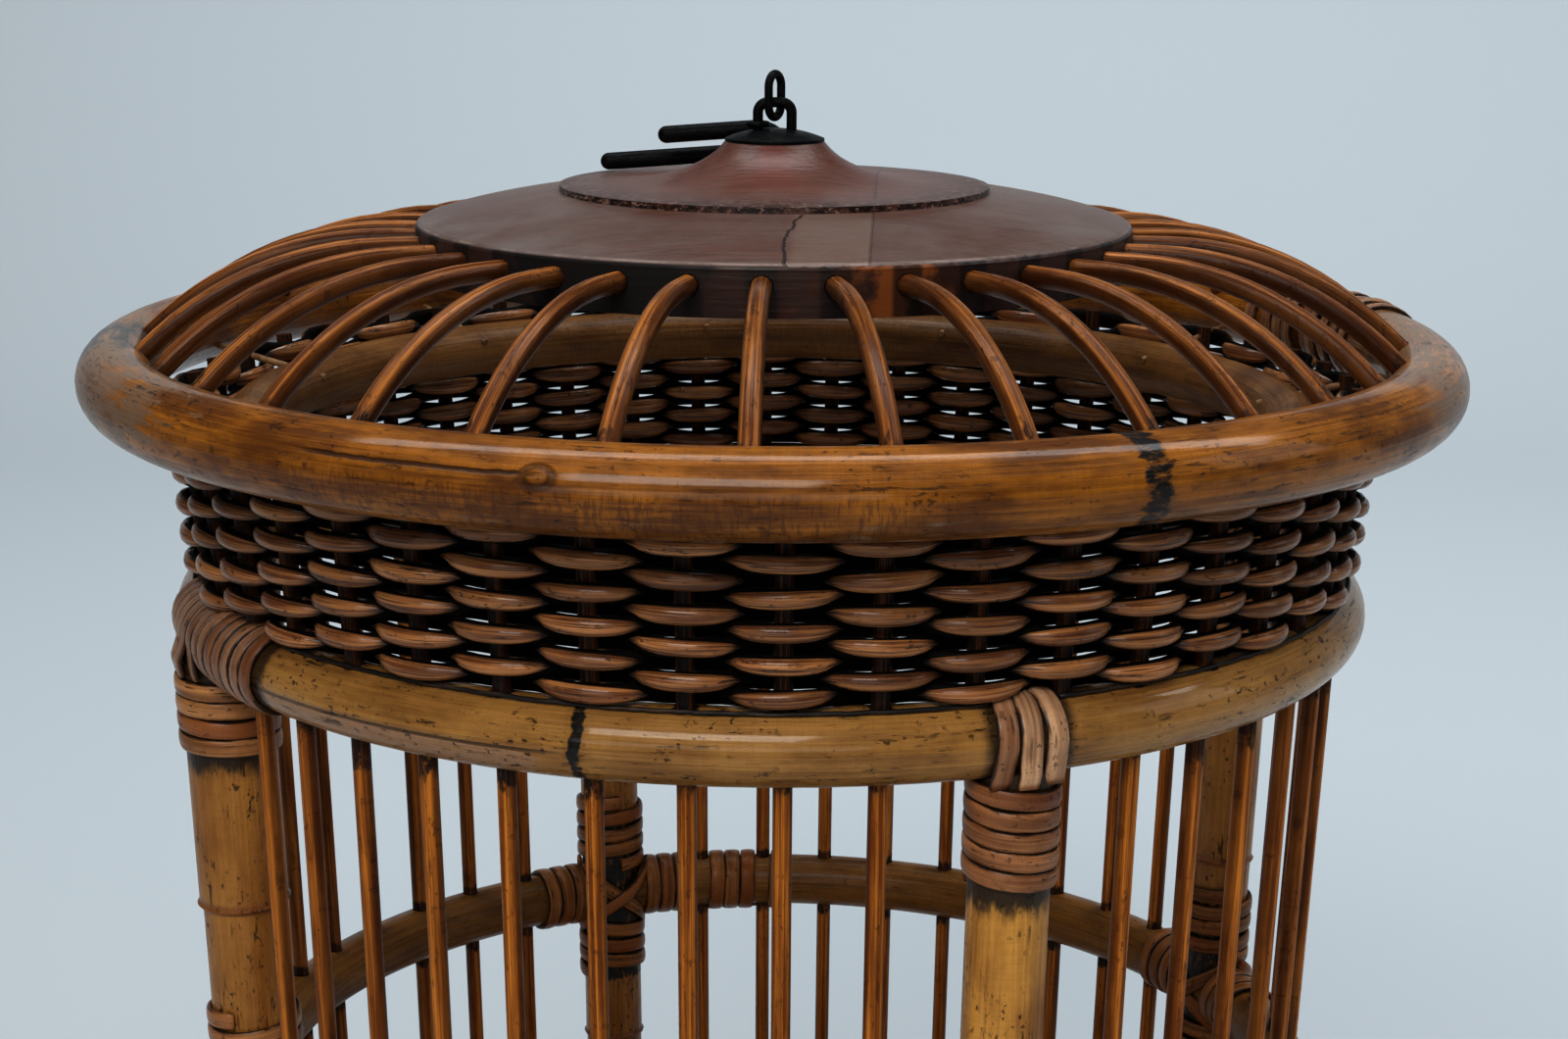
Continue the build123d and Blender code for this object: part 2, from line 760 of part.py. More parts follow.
def make_hook():
    upper, along, across = hook_frame()
    lower = upper + across * (2 * hook_bow_radius)
    bow = upper + across * hook_bow_radius - along * hook_bow_radius
    upper_tip = upper + along * hook_upper_length
    lower_tip = lower + along * hook_lower_length
    path = Wire([Line(upper_tip, upper), ThreePointArc(upper, bow, lower), Line(lower, lower_tip)])
    body = tube_along(path, hook_rod, across)
    for tip in (upper_tip, lower_tip):
        body = body + Pos(*tip) * Sphere(hook_rod)
    eye_reach = staple_wire + hook_eye_slack + hook_neck_wire
    eye_height = dome_top + hook_eye_rise
    eye = Pos(-staple_half_width, 0, eye_height) * Solid.make_torus(eye_reach, hook_neck_wire)
    neck = rod(Vector(-staple_half_width, eye_reach, eye_height), upper, hook_neck_wire)
    return (body + eye + neck).solids()[0]


# Door: two bent rails, sticks between them, and wire staples that run on the two side bars.
door_azimuth = (bar_azimuth(door_first_bar_index) + bar_azimuth(door_first_bar_index + door_span_count)) / 2
door_half_angle = bar_step * door_span_count / 2
door_out = bar_radius + door_rail_gap + door_rail_tube
door_seat = base_hoop_tube + door_rail_tube + seat_gap
door_low = base_hoop_height + math.sqrt(door_seat ** 2 - door_out ** 2)
door_high = lintel_height + lintel_tube + door_top_gap + door_staple_wire


def rail_radius(height):
    return wall_radius(height) + door_out


def make_lintel():
    radius = wall_radius(lintel_height)
    past = door_half_angle + hoop_step(radius, door_rail_overhang)
    arc = hoop_arc(radius, lintel_tube, lintel_height, door_azimuth - past, door_azimuth + past)
    order = drilled_order(range(door_first_bar_index, door_first_bar_index + door_span_count + 1))
    return cut(arc, [holes[place] for place in order])


def door_stick_ends(place, deeper):
    azimuth = door_azimuth + door_stick_angle * (place - (door_stick_count - 1) / 2)
    low = door_low + door_rail_tube - door_stick_depth - deeper
    high = door_high - door_rail_tube + door_stick_depth + deeper
    return polar(rail_radius(low), azimuth, low), polar(rail_radius(high), azimuth, high)


def staple_path(side, height, reach):
    """U of wire round a side bar, its legs pointing out to the rail."""
    azimuth = door_azimuth + side * door_half_angle
    half = bar_radius + door_staple_slack + door_staple_wire
    out, over = polar(1, azimuth, 0), polar(1, azimuth + 90, 0)
    bar_centre = polar(wall_radius(height), azimuth, height)
    near = bar_centre + over * half
    far = bar_centre - over * half
    back = bar_centre - out * half
    return Wire([Line(near + out * reach, near), ThreePointArc(near, back, far), Line(far, far + out * reach)])


def make_door_rail(height):
    radius = rail_radius(height)
    past = door_half_angle + hoop_step(radius, door_rail_overhang)
    rail = hoop_arc(radius, door_rail_tube, height, door_azimuth - past, door_azimuth + past)
    tools = []
    for place in range(door_stick_count):
        low, high = door_stick_ends(place, seat_gap)
        tools.append(rod(low, high, door_stick_radius + seat_gap / 2))
    for side in (-1, 1):
        path = staple_path(side, height, door_out + seat_gap)
        tools.append(tube_along(path, door_staple_wire + seat_gap / 2, Vector(0, 0, 1)))
    return cut(rail, tools)


def make_door_sticks():
    return [rod(*door_stick_ends(place, 0), door_stick_radius) for place in range(door_stick_count)]


def make_door_staples():
    staples = []
    for height in (door_low, door_high):
        for side in (-1, 1):
            staples.append(tube_along(staple_path(side, height, door_out), door_staple_wire,
                                      Vector(0, 0, 1)))
    return staples


write("rim_hoop", make_rim())
write("inner_hoop", make_inner_hoop())
write("hoop_pegs", make_pegs())
write("lower_hoop", cut(hoop(lower_hoop_radius, lower_hoop_tube, lower_hoop_height), holes))
write("side_bars", make_bars(full_bars, bar_foot))
write("short_stakes", make_bars(short_bars, short_foot))
write("bars_above_door", make_bars(door_bars, lintel_foot))
write("weave_rows", make_weave())
write("weave_base_strand", make_base_strand())
for index, name in enumerate(post_names):
    write(f"post_{name}", make_post(index))
    write(f"post_lashing_{name}", make_post_lashing(index))
    write(f"mid_hoop_{index + 1}", make_arc(index, mid_hoop_height, mid_hoop_tube))
    write(f"base_hoop_{index + 1}", make_arc(index, base_hoop_height, base_hoop_tube))
    below = mid_hoop_height - mid_hoop_tube - joint_wrap_start
    right = long_hoop_turns if name == "back_left" else joint_hoop_turns
    write(f"mid_lashing_{name}",
          make_joint_lashing(index, mid_hoop_height, mid_hoop_tube, below, (-1, 1), right))
    below = floor_bottom - joint_wrap_start
    write(f"base_lashing_{name}",
          make_joint_lashing(index, base_hoop_height, base_hoop_tube, below, (1,), 0))
step = bar_step / wraps_per_bar_gap
start = post_azimuth(post_count - 1) + bar_step / 2 + step / 2
write("hoop_lashing_front_left", hoop_winding(lower_hoop_radius, lower_hoop_tube, lower_hoop_height,
                                              start, step, front_left_hoop_turns - 1))
step = spoke_step / wraps_per_spoke_gap
start = spoke_azimuth(rim_wrap_first_spoke) + step * rim_wrap_skipped
write("rim_lashing", hoop_winding(rim_radius, rim_tube, rim_height, start, step, rim_wrap_turns - 1))
step = hoop_step(inner_hoop_radius, strap_pitch)
write("inner_hoop_lashing", hoop_winding(inner_hoop_radius, inner_hoop_tube, inner_hoop_height,
                                         inner_wrap_azimuth, step, inner_wrap_turns))
write("floor_board", make_floor())
write("floor_pegs", make_floor_pegs())
write("perch_low", make_perch(base_hoop_height + perch_low_rise, *perch_low_bar_indices))
write("perch_high", make_perch(base_hoop_height + perch_high_rise, *perch_high_bar_indices))
write("roof_cap", make_cap())
write("roof_dome", make_dome())
write("roof_spokes", make_spokes())
write("iron_plate", make_plate())
write("staple", make_staple())
write("chain_link", make_link())
write("hanging_hook", make_hook())
write("door_lintel", make_lintel())
write("door_bottom_rail", make_door_rail(door_low))
write("door_top_rail", make_door_rail(door_high))
write("door_sticks", make_door_sticks())
write("door_staples", make_door_staples())
print("door azimuth", door_azimuth, "rails at", door_low, door_high)
print("bars", len(full_bars), "short", len(short_bars), "above the door", len(door_bars))
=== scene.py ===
import math
import random

import bmesh
import bpy
from mathutils import Matrix, Vector


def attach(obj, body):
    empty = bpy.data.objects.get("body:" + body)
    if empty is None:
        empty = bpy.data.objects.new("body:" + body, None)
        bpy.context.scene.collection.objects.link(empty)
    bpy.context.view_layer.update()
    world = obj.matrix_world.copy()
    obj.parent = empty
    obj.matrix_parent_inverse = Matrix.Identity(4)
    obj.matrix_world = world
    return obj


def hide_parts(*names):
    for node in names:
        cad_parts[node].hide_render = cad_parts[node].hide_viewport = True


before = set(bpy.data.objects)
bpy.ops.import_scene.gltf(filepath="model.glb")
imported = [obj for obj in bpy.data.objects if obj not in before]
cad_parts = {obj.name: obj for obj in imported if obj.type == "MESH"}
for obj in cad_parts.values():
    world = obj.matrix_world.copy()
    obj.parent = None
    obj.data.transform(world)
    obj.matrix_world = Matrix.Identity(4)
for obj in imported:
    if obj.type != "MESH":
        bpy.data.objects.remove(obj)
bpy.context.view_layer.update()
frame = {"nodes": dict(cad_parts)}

cage, scene = frame["nodes"], bpy.context.scene
full_turn = 2 * math.pi


# The picture: a pale paper sweep that bends up behind the cage, daylight from windows in front
# and from above, and a camera at the height of the rim that looks a little down on it.
sweep_length, sweep_wide, sweep_flat, sweep_bend = 9.0, 6.0, 2.2, 0.9
paper_colour, paper_roughness = (0.500, 0.533, 0.560), 0.9


def paper_sweep():
    sheet = bmesh.new()
    bmesh.ops.create_grid(sheet, x_segments=2, y_segments=60, size=1)
    curve = sweep_bend * math.pi / 2
    for v in sheet.verts:
        along = v.co.y * sweep_length / 2
        over = along - sweep_flat
        v.co.x *= sweep_wide
        if over <= 0:
            v.co.y = along
        elif over < curve:
            v.co.y = sweep_flat + sweep_bend * math.sin(over / sweep_bend)
            v.co.z = sweep_bend * (1 - math.cos(over / sweep_bend))
        else:
            v.co.y, v.co.z = sweep_flat + sweep_bend, sweep_bend + over - curve
    bmesh.ops.recalc_face_normals(sheet, faces=sheet.faces)
    finish = bpy.data.materials.new("pale paper")
    finish.use_nodes = True
    shader = finish.node_tree.nodes["Principled BSDF"]
    shader.inputs["Base Color"].default_value = (*paper_colour, 1)
    shader.inputs["Roughness"].default_value = paper_roughness
    finished("paper_sweep", sheet, finish)


def finished(name, mesh_maker, finish):
    """Turns a bmesh into a smooth object at the origin that wears the finish."""
    mesh = bpy.data.meshes.new(name)
    mesh_maker.to_mesh(mesh)
    mesh_maker.free()
    for face in mesh.polygons:
        face.use_smooth = True
    mesh.materials.append(finish)
    piece = bpy.data.objects.new(name, mesh)
    scene.collection.objects.link(piece)
    return piece


def daylight(name, place, aim, size, power, colour):
    lamp = bpy.data.lights.new(name, "AREA")
    lamp.shape, lamp.size, lamp.size_y = "RECTANGLE", size[0], size[1]
    lamp.energy, lamp.color = power, colour
    lit = bpy.data.objects.new(name, lamp)
    lit.location = place
    lit.rotation_euler = (Vector(aim) - Vector(place)).to_track_quat("-Z", "Y").to_euler()
    scene.collection.objects.link(lit)


paper_sweep()
warm_day, dusk, cool_day, sky = (1.0, 0.98, 0.95), (1.0, 0.97, 0.93), (0.96, 0.98, 1.0), (0.93, 0.98, 1.0)
daylight("window in front", place=(-0.5, -2.1, 2.10), aim=(0, -0.1, 0.42), size=(1.7, 0.8), power=40,
         colour=warm_day)
daylight("low window in front", place=(-0.4, -2.5, 0.8), aim=(0, 0, 0.35), size=(2.4, 0.5), power=8,
         colour=dusk)
daylight("sky above", place=(0.0, 0.1, 2.4), aim=(0, 0, 0.45), size=(2.0, 0.6), power=5, colour=cool_day)
daylight("window on the right", place=(2.2, -0.3, 1.3), aim=(0, 0, 0.42), size=(0.9, 1.1), power=4.5,
         colour=cool_day)
daylight("light on the paper", place=(0.6, 0.7, 2.9), aim=(0.6, 3.0, 0.2), size=(4.6, 1.4), power=138,
         colour=sky)
room_colour, room_light = (0.86, 0.92, 1.0, 1), 0.05
world = bpy.data.worlds.new("room")
world.use_nodes = True
room = world.node_tree.nodes["Background"].inputs
room["Color"].default_value, room["Strength"].default_value = room_colour, room_light
scene.world = world
view = scene.view_settings
view.view_transform, view.gamma = "Standard", 0.8

picture_wide, focal_pixels, sensor_wide = 1600, 2830, 36.0
camera_place, camera_pitch, camera_roll = (0.004, -0.930, 0.635), 0.223, math.radians(0.4)
eye = bpy.data.cameras.new("camera")
eye.sensor_width, eye.lens = sensor_wide, sensor_wide * focal_pixels / picture_wide
camera = bpy.data.objects.new("camera", eye)
camera.matrix_world = (Matrix.Translation(camera_place)
                       @ Matrix.Rotation(math.pi / 2 - camera_pitch, 4, "X")
                       @ Matrix.Rotation(camera_roll, 4, "Z"))
scene.collection.objects.link(camera)
scene.camera = camera


# Rim hoop: one thick bamboo bent over a flame into a ring and lacquered amber, with a burnt joint
# on the right, a knot and a long dry crack in front, and brown rubbed places at both ends.
class Field:
    """A value that changes over a surface: a shader socket that takes part in sums."""

    def __init__(self, tree, socket):
        self.tree, self.socket = tree, socket

    def sum(self, operation, *values):
        inputs = {f"i{place}": value for place, value in enumerate(values)}
        return field(self.tree, "ShaderNodeMath", {"operation": operation}, **inputs)

    def of(self, function):
        return self.sum(function, self)

    def __add__(self, other):
        return self.sum("ADD", self, other)

    def __sub__(self, other):
        return self.sum("SUBTRACT", self, other)

    def __rsub__(self, other):
        return self.sum("SUBTRACT", other, self)

    def __mul__(self, other):
        return self.sum("MULTIPLY", self, other)

    def __truediv__(self, other):
        return self.sum("DIVIDE", self, other)

    def __or__(self, other):
        """The larger of two, as when either of two masks holds."""
        return self.sum("MAXIMUM", self, other)

    def __abs__(self):
        return self.of("ABSOLUTE")


def put(tree, kind, settings=None, **inputs):
    """A shader node, its plain settings made, and its inputs set or joined to other nodes."""
    made = tree.nodes.new(kind)
    for key, value in (settings or {}).items():
        setattr(made, key, value)
    for key, value in inputs.items():
        socket = made.inputs[int(key[1:]) if key[1:].isdigit() else key]
        if isinstance(value, Field):
            tree.links.new(value.socket, socket)
        else:
            socket.default_value = (*value, 1) if socket.type == "RGBA" else value
    return made


def field(tree, kind, settings=None, output=0, **inputs):
    return Field(tree, put(tree, kind, settings, **inputs).outputs[output])


def place_on(tree):
    return field(tree, "ShaderNodeTexCoord", output="Object")


def axes(vector):
    split = put(vector.tree, "ShaderNodeSeparateXYZ", i0=vector)
    return [Field(vector.tree, part) for part in split.outputs]


def joined(first, second, third):
    return field(first.tree, "ShaderNodeCombineXYZ", i0=first, i1=second, i2=third)


def angle_of(across, along):
    return across.sum("ARCTAN2", across, along)


def reach_of(first, second):
    return (first * first + second * second).of("SQRT")


def steps(value, low, high, to_low=0.0, to_high=1.0):
    """Goes smoothly from to_low to to_high while the value goes from low to high."""
    return field(value.tree, "ShaderNodeMapRange", {"interpolation_type": "SMOOTHSTEP"}, i0=value,
                 i1=low, i2=high, i3=to_low, i4=to_high)


def band(value, centre, half, soft):
    """1 within half of centre, fading to 0 over soft."""
    return steps(abs(value - centre), half, half + soft, 1.0, 0.0)


def off_step(value):
    """How far a count is from the nearest whole one."""
    return abs(value - value.of("ROUND"))


def mixed(share, first, second, blend="MIX"):
    return field(share.tree, "ShaderNodeMix", {"data_type": "RGBA", "blend_type": blend}, output=2,
                 i0=share, i6=first, i7=second)


def mixed_value(share, first, second):
    return field(share.tree, "ShaderNodeMix", {"data_type": "FLOAT"}, i0=share, i2=first, i3=second)


def grain(lines, scale, detail=4.0, rough=0.6):
    """Noise along the fibre: lines is (along, across, across), scale its counts per metre."""
    spread = field(lines.tree, "ShaderNodeVectorMath", {"operation": "MULTIPLY"}, i0=lines, i1=scale)
    return field(lines.tree, "ShaderNodeTexNoise", {"noise_dimensions": "3D"}, Vector=spread,
                 Scale=1.0, Detail=detail, Roughness=rough)


def ragged(lines, scale, amount, detail=4.0, rough=0.6):
    """Noise to either side of zero, for edges that are not straight."""
    return (grain(lines, scale, detail, rough) - 0.5) * amount


def group(name, inputs, outputs):
    """A new node group: its tree, what it is given by name, and a way to fill its outputs."""
    tree = bpy.data.node_groups.new(name, "ShaderNodeTree")
    for label, value in inputs.items():
        kind = "Vector" if value is None else "Color" if isinstance(value, tuple) else "Float"
        made = tree.interface.new_socket(label, in_out="INPUT", socket_type=f"NodeSocket{kind}")
        if value is not None:
            made.default_value = value
    for label, kind in outputs.items():
        tree.interface.new_socket(label, in_out="OUTPUT", socket_type=f"NodeSocket{kind}")
    enter, leave = tree.nodes.new("NodeGroupInput"), tree.nodes.new("NodeGroupOutput")

    def fill(**fields):
        for label, value in fields.items():
            tree.links.new(value.socket, leave.inputs[label])
        return tree

    return tree, {label: Field(tree, enter.outputs[label]) for label in inputs}, fill


def use(tree, made, **inputs):
    """A node group placed in a material, and its outputs by name."""
    placed = put(tree, "ShaderNodeGroup", {"node_tree": made}, **inputs)
    return {socket.name: Field(tree, socket) for socket in placed.outputs}


def make_hoop_lines():
    """Along and across a hoop bent round the cage's axis, from the place on it."""
    tree, given, fill = group("Hoop lines", {"Bend": 0.2, "Height": 0.4, "Start": 0.0},
                              {"Lines": "Vector", "Turn": "Float", "Round": "Float"})
    x, y, z = axes(field(tree, "ShaderNodeVectorRotate", {"rotation_type": "Z_AXIS"},
                         Vector=place_on(tree), Angle=given["Start"]))
    turn, across, up = angle_of(y, x), reach_of(x, y) - given["Bend"], z - given["Height"]
    return fill(Lines=joined(turn * given["Bend"], across, up), Turn=turn, Round=angle_of(up, across))


def make_bamboo_skin():
    """Bamboo bark: long fibres, fine rings across, blotches, pits, and soot where a mask says so."""
    pit_colour, soot_colour = (0.03, 0.012, 0.006), (0.012, 0.010, 0.009)
    tree, given, fill = group(
        "Bamboo skin",
        {"Lines": None, "Pale": (0.3, 0.14, 0.04, 1), "Deep": (0.12, 0.04, 0.01, 1),
         "Bare": (0.3, 0.2, 0.14, 1), "Fibre": 0.5, "Blotch": 0.5, "Rings": 0.3, "Pits": 0.5, "Worn": 0.0,
         "Soot": 0.0, "Gloss": 0.25},
        {"Colour": "Color", "Roughness": "Float", "Height": "Float"})
    lines = given["Lines"]
    fibre = steps(grain(lines, (14, 700, 700), 5, 0.65), 0.36, 0.66)
    blotch = steps(grain(lines, (26, 60, 60), 4, 0.62), 0.36, 0.68)
    pit = steps(grain(lines, (330, 520, 520), 3), 0.60, 0.68)
    pitted_part = steps(grain(lines, (40, 70, 70), 3), 0.40, 0.58)
    scuff = steps(grain(lines, (85, 640, 640), 4, 0.65), 0.60, 0.68)
    pit = (pit | scuff) * pitted_part * given["Pits"]
    worn = steps(grain(lines, (60, 260, 260), 5, 0.65) + (given["Worn"] - 0.5), 0.47, 0.60)
    ring = steps(grain(lines, (1250, 110, 110), 2, 0.5), 0.40, 0.62) * given["Rings"]
    sooty = steps(grain(lines, (160, 420, 420), 5, 0.7) + (given["Soot"] - 0.5), 0.42, 0.62)
    deep = fibre * given["Fibre"] + blotch * given["Blotch"]
    skin = mixed(deep.sum("MINIMUM", deep, 1.0), given["Pale"], given["Deep"])
    skin = mixed(worn, skin, given["Bare"])
    skin = mixed(ring, skin, given["Deep"])
    skin = mixed(pit * 0.85, skin, pit_colour)
    skin = mixed(sooty, skin, soot_colour)
    rough = given["Gloss"] + blotch * 0.10 + worn * 0.18 + (pit | sooty) * 0.25
    height = fibre * -0.35 - pit - ring * 0.35 + sooty * 0.5
    return fill(Colour=skin, Roughness=rough, Height=height)


def bark(lines, pale, deep, bare, **marks):
    """The bamboo skin's colour, roughness and relief along the lines."""
    skin = use(lines.tree, bamboo_skin, Lines=lines, Pale=pale, Deep=deep, Bare=bare, **marks)
    return skin["Colour"], skin["Roughness"], skin["Height"]


def finish_from(name, build, bump=0.0004, coat=0.0, coat_roughness=0.15, specular=0.5, metal=0.0):
    """A material whose colour, roughness and relief come from build(tree)."""
    made = bpy.data.materials.new(name)
    made.use_nodes = True
    tree = made.node_tree
    shader = tree.nodes["Principled BSDF"]
    colour, rough, height = build(tree)
    tree.links.new(colour.socket, shader.inputs["Base Color"])
    if isinstance(rough, Field):
        tree.links.new(rough.socket, shader.inputs["Roughness"])
    else:
        shader.inputs["Roughness"].default_value = rough
    relief = put(tree, "ShaderNodeBump", Strength=1.0, Distance=bump, Height=height)
    tree.links.new(relief.outputs[0], shader.inputs["Normal"])
    for label, value in {"Coat Weight": coat, "Coat Roughness": coat_roughness,
                         "Specular IOR Level": specular, "Metallic": metal}.items():
        shader.inputs[label].default_value = value
    return made


def dress(finish, *nodes):
    """A CAD node keeps its mesh, and its surface gets the finish."""
    for name in nodes:
        mesh = cage[name].data
        mesh.materials.clear()
        mesh.materials.append(finish)
        for face in mesh.polygons:
            face.material_index = 0


def counted_from(start):
    """Turns azimuths into those of a hoop's pattern, whose seam is at 180 degrees less start."""
    return lambda degrees: (math.radians(degrees) + start + math.pi) % full_turn - math.pi


hoop_lines = make_hoop_lines()
bamboo_skin = make_bamboo_skin()
rim_bend, rim_thick, rim_height, rim_seam = 0.2172, 0.0128, 0.480, math.radians(160)
rim_amber, rim_brown, rim_rubbed = (0.47, 0.180, 0.017), (0.15, 0.048, 0.005), (0.245, 0.145, 0.082)
rim_joint, rim_left_joint, rim_knot, knot_about, knot_narrow = -62.9, 195.0, -105.4, 0.40, 13.0
crack_colour, crackle_colour = (0.05, 0.018, 0.007), (0.10, 0.030, 0.006)
smudge_colour = (0.040, 0.042, 0.044)


def rim_skin(tree):
    at = counted_from(rim_seam)
    hoop = use(tree, hoop_lines, Bend=rim_bend, Height=rim_height, Start=rim_seam)
    lines, turn, about = hoop["Lines"], hoop["Turn"], hoop["Round"]
    up = about.of("SINE")
    wavy = turn + up * 0.004 + ragged(lines, (30, 140, 140), 0.022, detail=3)
    burnt = band(wavy, at(rim_joint), half=0.008, soft=0.034) * 0.60
    soot = burnt | band(wavy, at(rim_left_joint), half=0.006, soft=0.030) * 0.44

    inside = steps(about.of("COSINE"), 0.15, -0.35)
    far_left = band(turn, at(188), half=0.07, soft=0.05) * steps(up, -0.1, 0.4)
    smudge = inside * band(turn, at(216), half=0.34, soft=0.16) | far_left
    smudge = smudge * steps(grain(lines, (34, 120, 120)), 0.34, 0.58)

    ends = band(turn, at(196), half=0.30, soft=0.45) | band(turn, at(-8), half=0.30, soft=0.40)
    back = steps((turn - rim_seam).of("SINE"), 0.0, 0.6)
    worn = steps(up, 0.25, -0.55) * 0.40 | ends * 0.58 | back * 0.35
    colour, rough, relief = bark(lines, rim_amber, rim_brown, rim_rubbed, Fibre=0.45, Blotch=0.90,
                                 Rings=0.14, Pits=0.75, Worn=worn, Soot=soot, Gloss=0.30)

    wander = about + ragged(lines, (45, 1, 1), 0.16, rough=0.7)
    crack = band(wander, 0.46, half=0.018, soft=0.05) * band(turn, at(-114.5), half=0.13, soft=0.05)
    knot_away = reach_of((turn - at(rim_knot)) * knot_narrow, about - knot_about)
    scar = crack | band(knot_away, 0.24, half=0.02, soft=0.09) * 0.75
    crackle = steps(grain(lines, (850, 150, 150), 3), 0.50, 0.60)
    crackle = crackle * band(turn, at(-102), half=0.30, soft=0.25) * steps(up, 0.30, 0.0)
    colour = mixed(scar * 0.88, colour, crack_colour)
    colour = mixed(crackle * 0.60, colour, crackle_colour)
    colour = mixed(smudge * 0.88, colour, smudge_colour)
    swell = steps(abs(wavy - at(rim_joint)), 0.030, 0.0) + steps(knot_away, 0.34, 0.0)
    return colour, rough, relief - scar * 2.2 + swell * 2.5


dress(finish_from("rim bamboo", rim_skin, 0.0005, coat=0.45, coat_roughness=0.11, specular=0.15),
      "rim_hoop")


# Inner hoop and lower hoop: thinner bamboos bent the same way. The lower one carries the band and
# the bars, has a joint left of the middle, and shows its paler split side below.
inner_bend, inner_thick, inner_height, inner_seam = 0.1748, 0.0096, 0.461, math.radians(-205)
inner_tan, inner_brown, inner_bare = (0.30, 0.140, 0.038), (0.11, 0.040, 0.010), (0.20, 0.12, 0.07)
lower_bend, lower_thick, lower_height, lower_seam = 0.1895, 0.0114, 0.402, math.radians(-200)
lower_tan, lower_brown, lower_split = (0.55, 0.290, 0.078), (0.25, 0.112, 0.026), (0.42, 0.24, 0.13)
lower_joint, split_about = -105.5, -0.15
seam_colour, under_cane_shade = (0.07, 0.03, 0.012), (0.022, 0.013, 0.008)
post_first, post_names = -68.3, ("front_right", "back_right", "back_left", "front_left")
stake_count, stake_first = 44, math.radians(post_first)
stake_step = full_turn / stake_count


def inner_skin(tree):
    lines = use(tree, hoop_lines, Bend=inner_bend, Height=inner_height, Start=inner_seam)["Lines"]
    return bark(lines, inner_tan, inner_brown, inner_bare, Fibre=0.4, Blotch=0.6, Rings=0.25, Pits=0.4,
                Worn=0.22, Soot=0.02, Gloss=0.32)


def lower_skin(tree):
    at = counted_from(lower_seam)
    hoop = use(tree, hoop_lines, Bend=lower_bend, Height=lower_height, Start=lower_seam)
    lines, turn, about = hoop["Lines"], hoop["Turn"], hoop["Round"]
    up = about.of("SINE")
    wavy = turn + ragged(lines, (30, 150, 150), 0.026, detail=3)
    joints = band(wavy, at(lower_joint), half=0.004, soft=0.014) | band(turn, at(62), half=0.010, soft=0.02)
    # Painted shade: under the front posts' cane lashings the hoop is made nearly black, so that it reads as
    # shade between the strips.
    lashed_shade = (band(wavy, at(post_first), half=0.056, soft=0.022)
              | band(wavy, at(207.2), half=0.230, soft=0.016))
    from_stake = off_step((turn - at(math.degrees(stake_first + stake_step / 2))) / stake_step)
    at_stakes = steps(from_stake, 0.26, 0.08) * steps(abs(up), 0.76, 0.98)
    # The term on up darkens the top of the hoop under the band's foot: painted shade.
    soot = joints * 0.66 | steps(up, 0.85, 1.0) * 0.40 | at_stakes * 0.66

    left = band(turn, at(232), half=0.30, soft=0.12)
    split_side = steps(about + 0.10, 0.0, -0.10) * left
    # Besides the split side on the left, the whole underside is made paler and greyer.
    worn = split_side * 0.62 | steps(up, -0.45, -0.9) * 0.40
    colour, rough, relief = bark(lines, lower_tan, lower_brown, lower_split, Fibre=0.35, Blotch=0.66,
                                 Rings=0.12, Pits=1.0, Worn=worn, Soot=soot, Gloss=0.26)
    seam = band(about, split_about, half=0.015, soft=0.05) * left
    colour = mixed(seam * 0.8, colour, seam_colour)
    colour = mixed(lashed_shade * 0.88, colour, under_cane_shade)
    ridge = steps(abs(wavy - at(lower_joint)), 0.020, 0.0)
    return colour, rough, relief - seam * 1.5 + ridge * 2.5


dress(finish_from("inner hoop bamboo", inner_skin, 0.0004, coat=0.2, coat_roughness=0.3, specular=0.15),
      "inner_hoop")
dress(finish_from("lower hoop bamboo", lower_skin, 0.0005, coat=0.50, coat_roughness=0.10, specular=0.2),
      "lower_hoop")


# Woven band: split cane strands, round-backed, in front of one stake and behind the next. Each
# swells where it crosses a stake. Painted shade darkens the ends and inner side of each float, and
# the gaps between are filled by a nearly black core sheet that is painted shade.
row_count, row_pitch, row_top = 12, 0.0049, 0.4711
stake_half, stake_gap, strand_half = 0.0028, 0.0003, 0.0021
strand_sway, sway_bluntness, back_drop = stake_half + stake_gap + strand_half, 0.60, -0.0013
core_pull, core_half, core_deep, core_back_deep = 0.0008, 0.0015, 0.0029, 0.0005
float_pull, float_seat, float_deep, tip_deep, tip_high = 0.0003, 0.0009, 0.0015, 0.0004, 0.0002
base_bend, base_height, band_bend, band_top = 0.1745, 0.052, 0.1960, 0.4750
strand_tan, strand_brown, strand_bare = (0.72, 0.330, 0.115), (0.22, 0.075, 0.024), (0.60, 0.40, 0.26)
painted_shade_black, core_shade_black, core_dust = (0.0042, 0.0030, 0.0025), (0.0035, 0.0025, 0.002), (0.020, 0.012, 0.008)


def wall_bend(height):
    """How far the wall stands from the axis: it leans out, more below the lower hoop than above."""
    if height > lower_height:
        return lower_bend + (band_bend - lower_bend) / (band_top - lower_height) * (height - lower_height)
    return lower_bend - (lower_bend - base_bend) / (lower_height - base_height) * (lower_height - height)


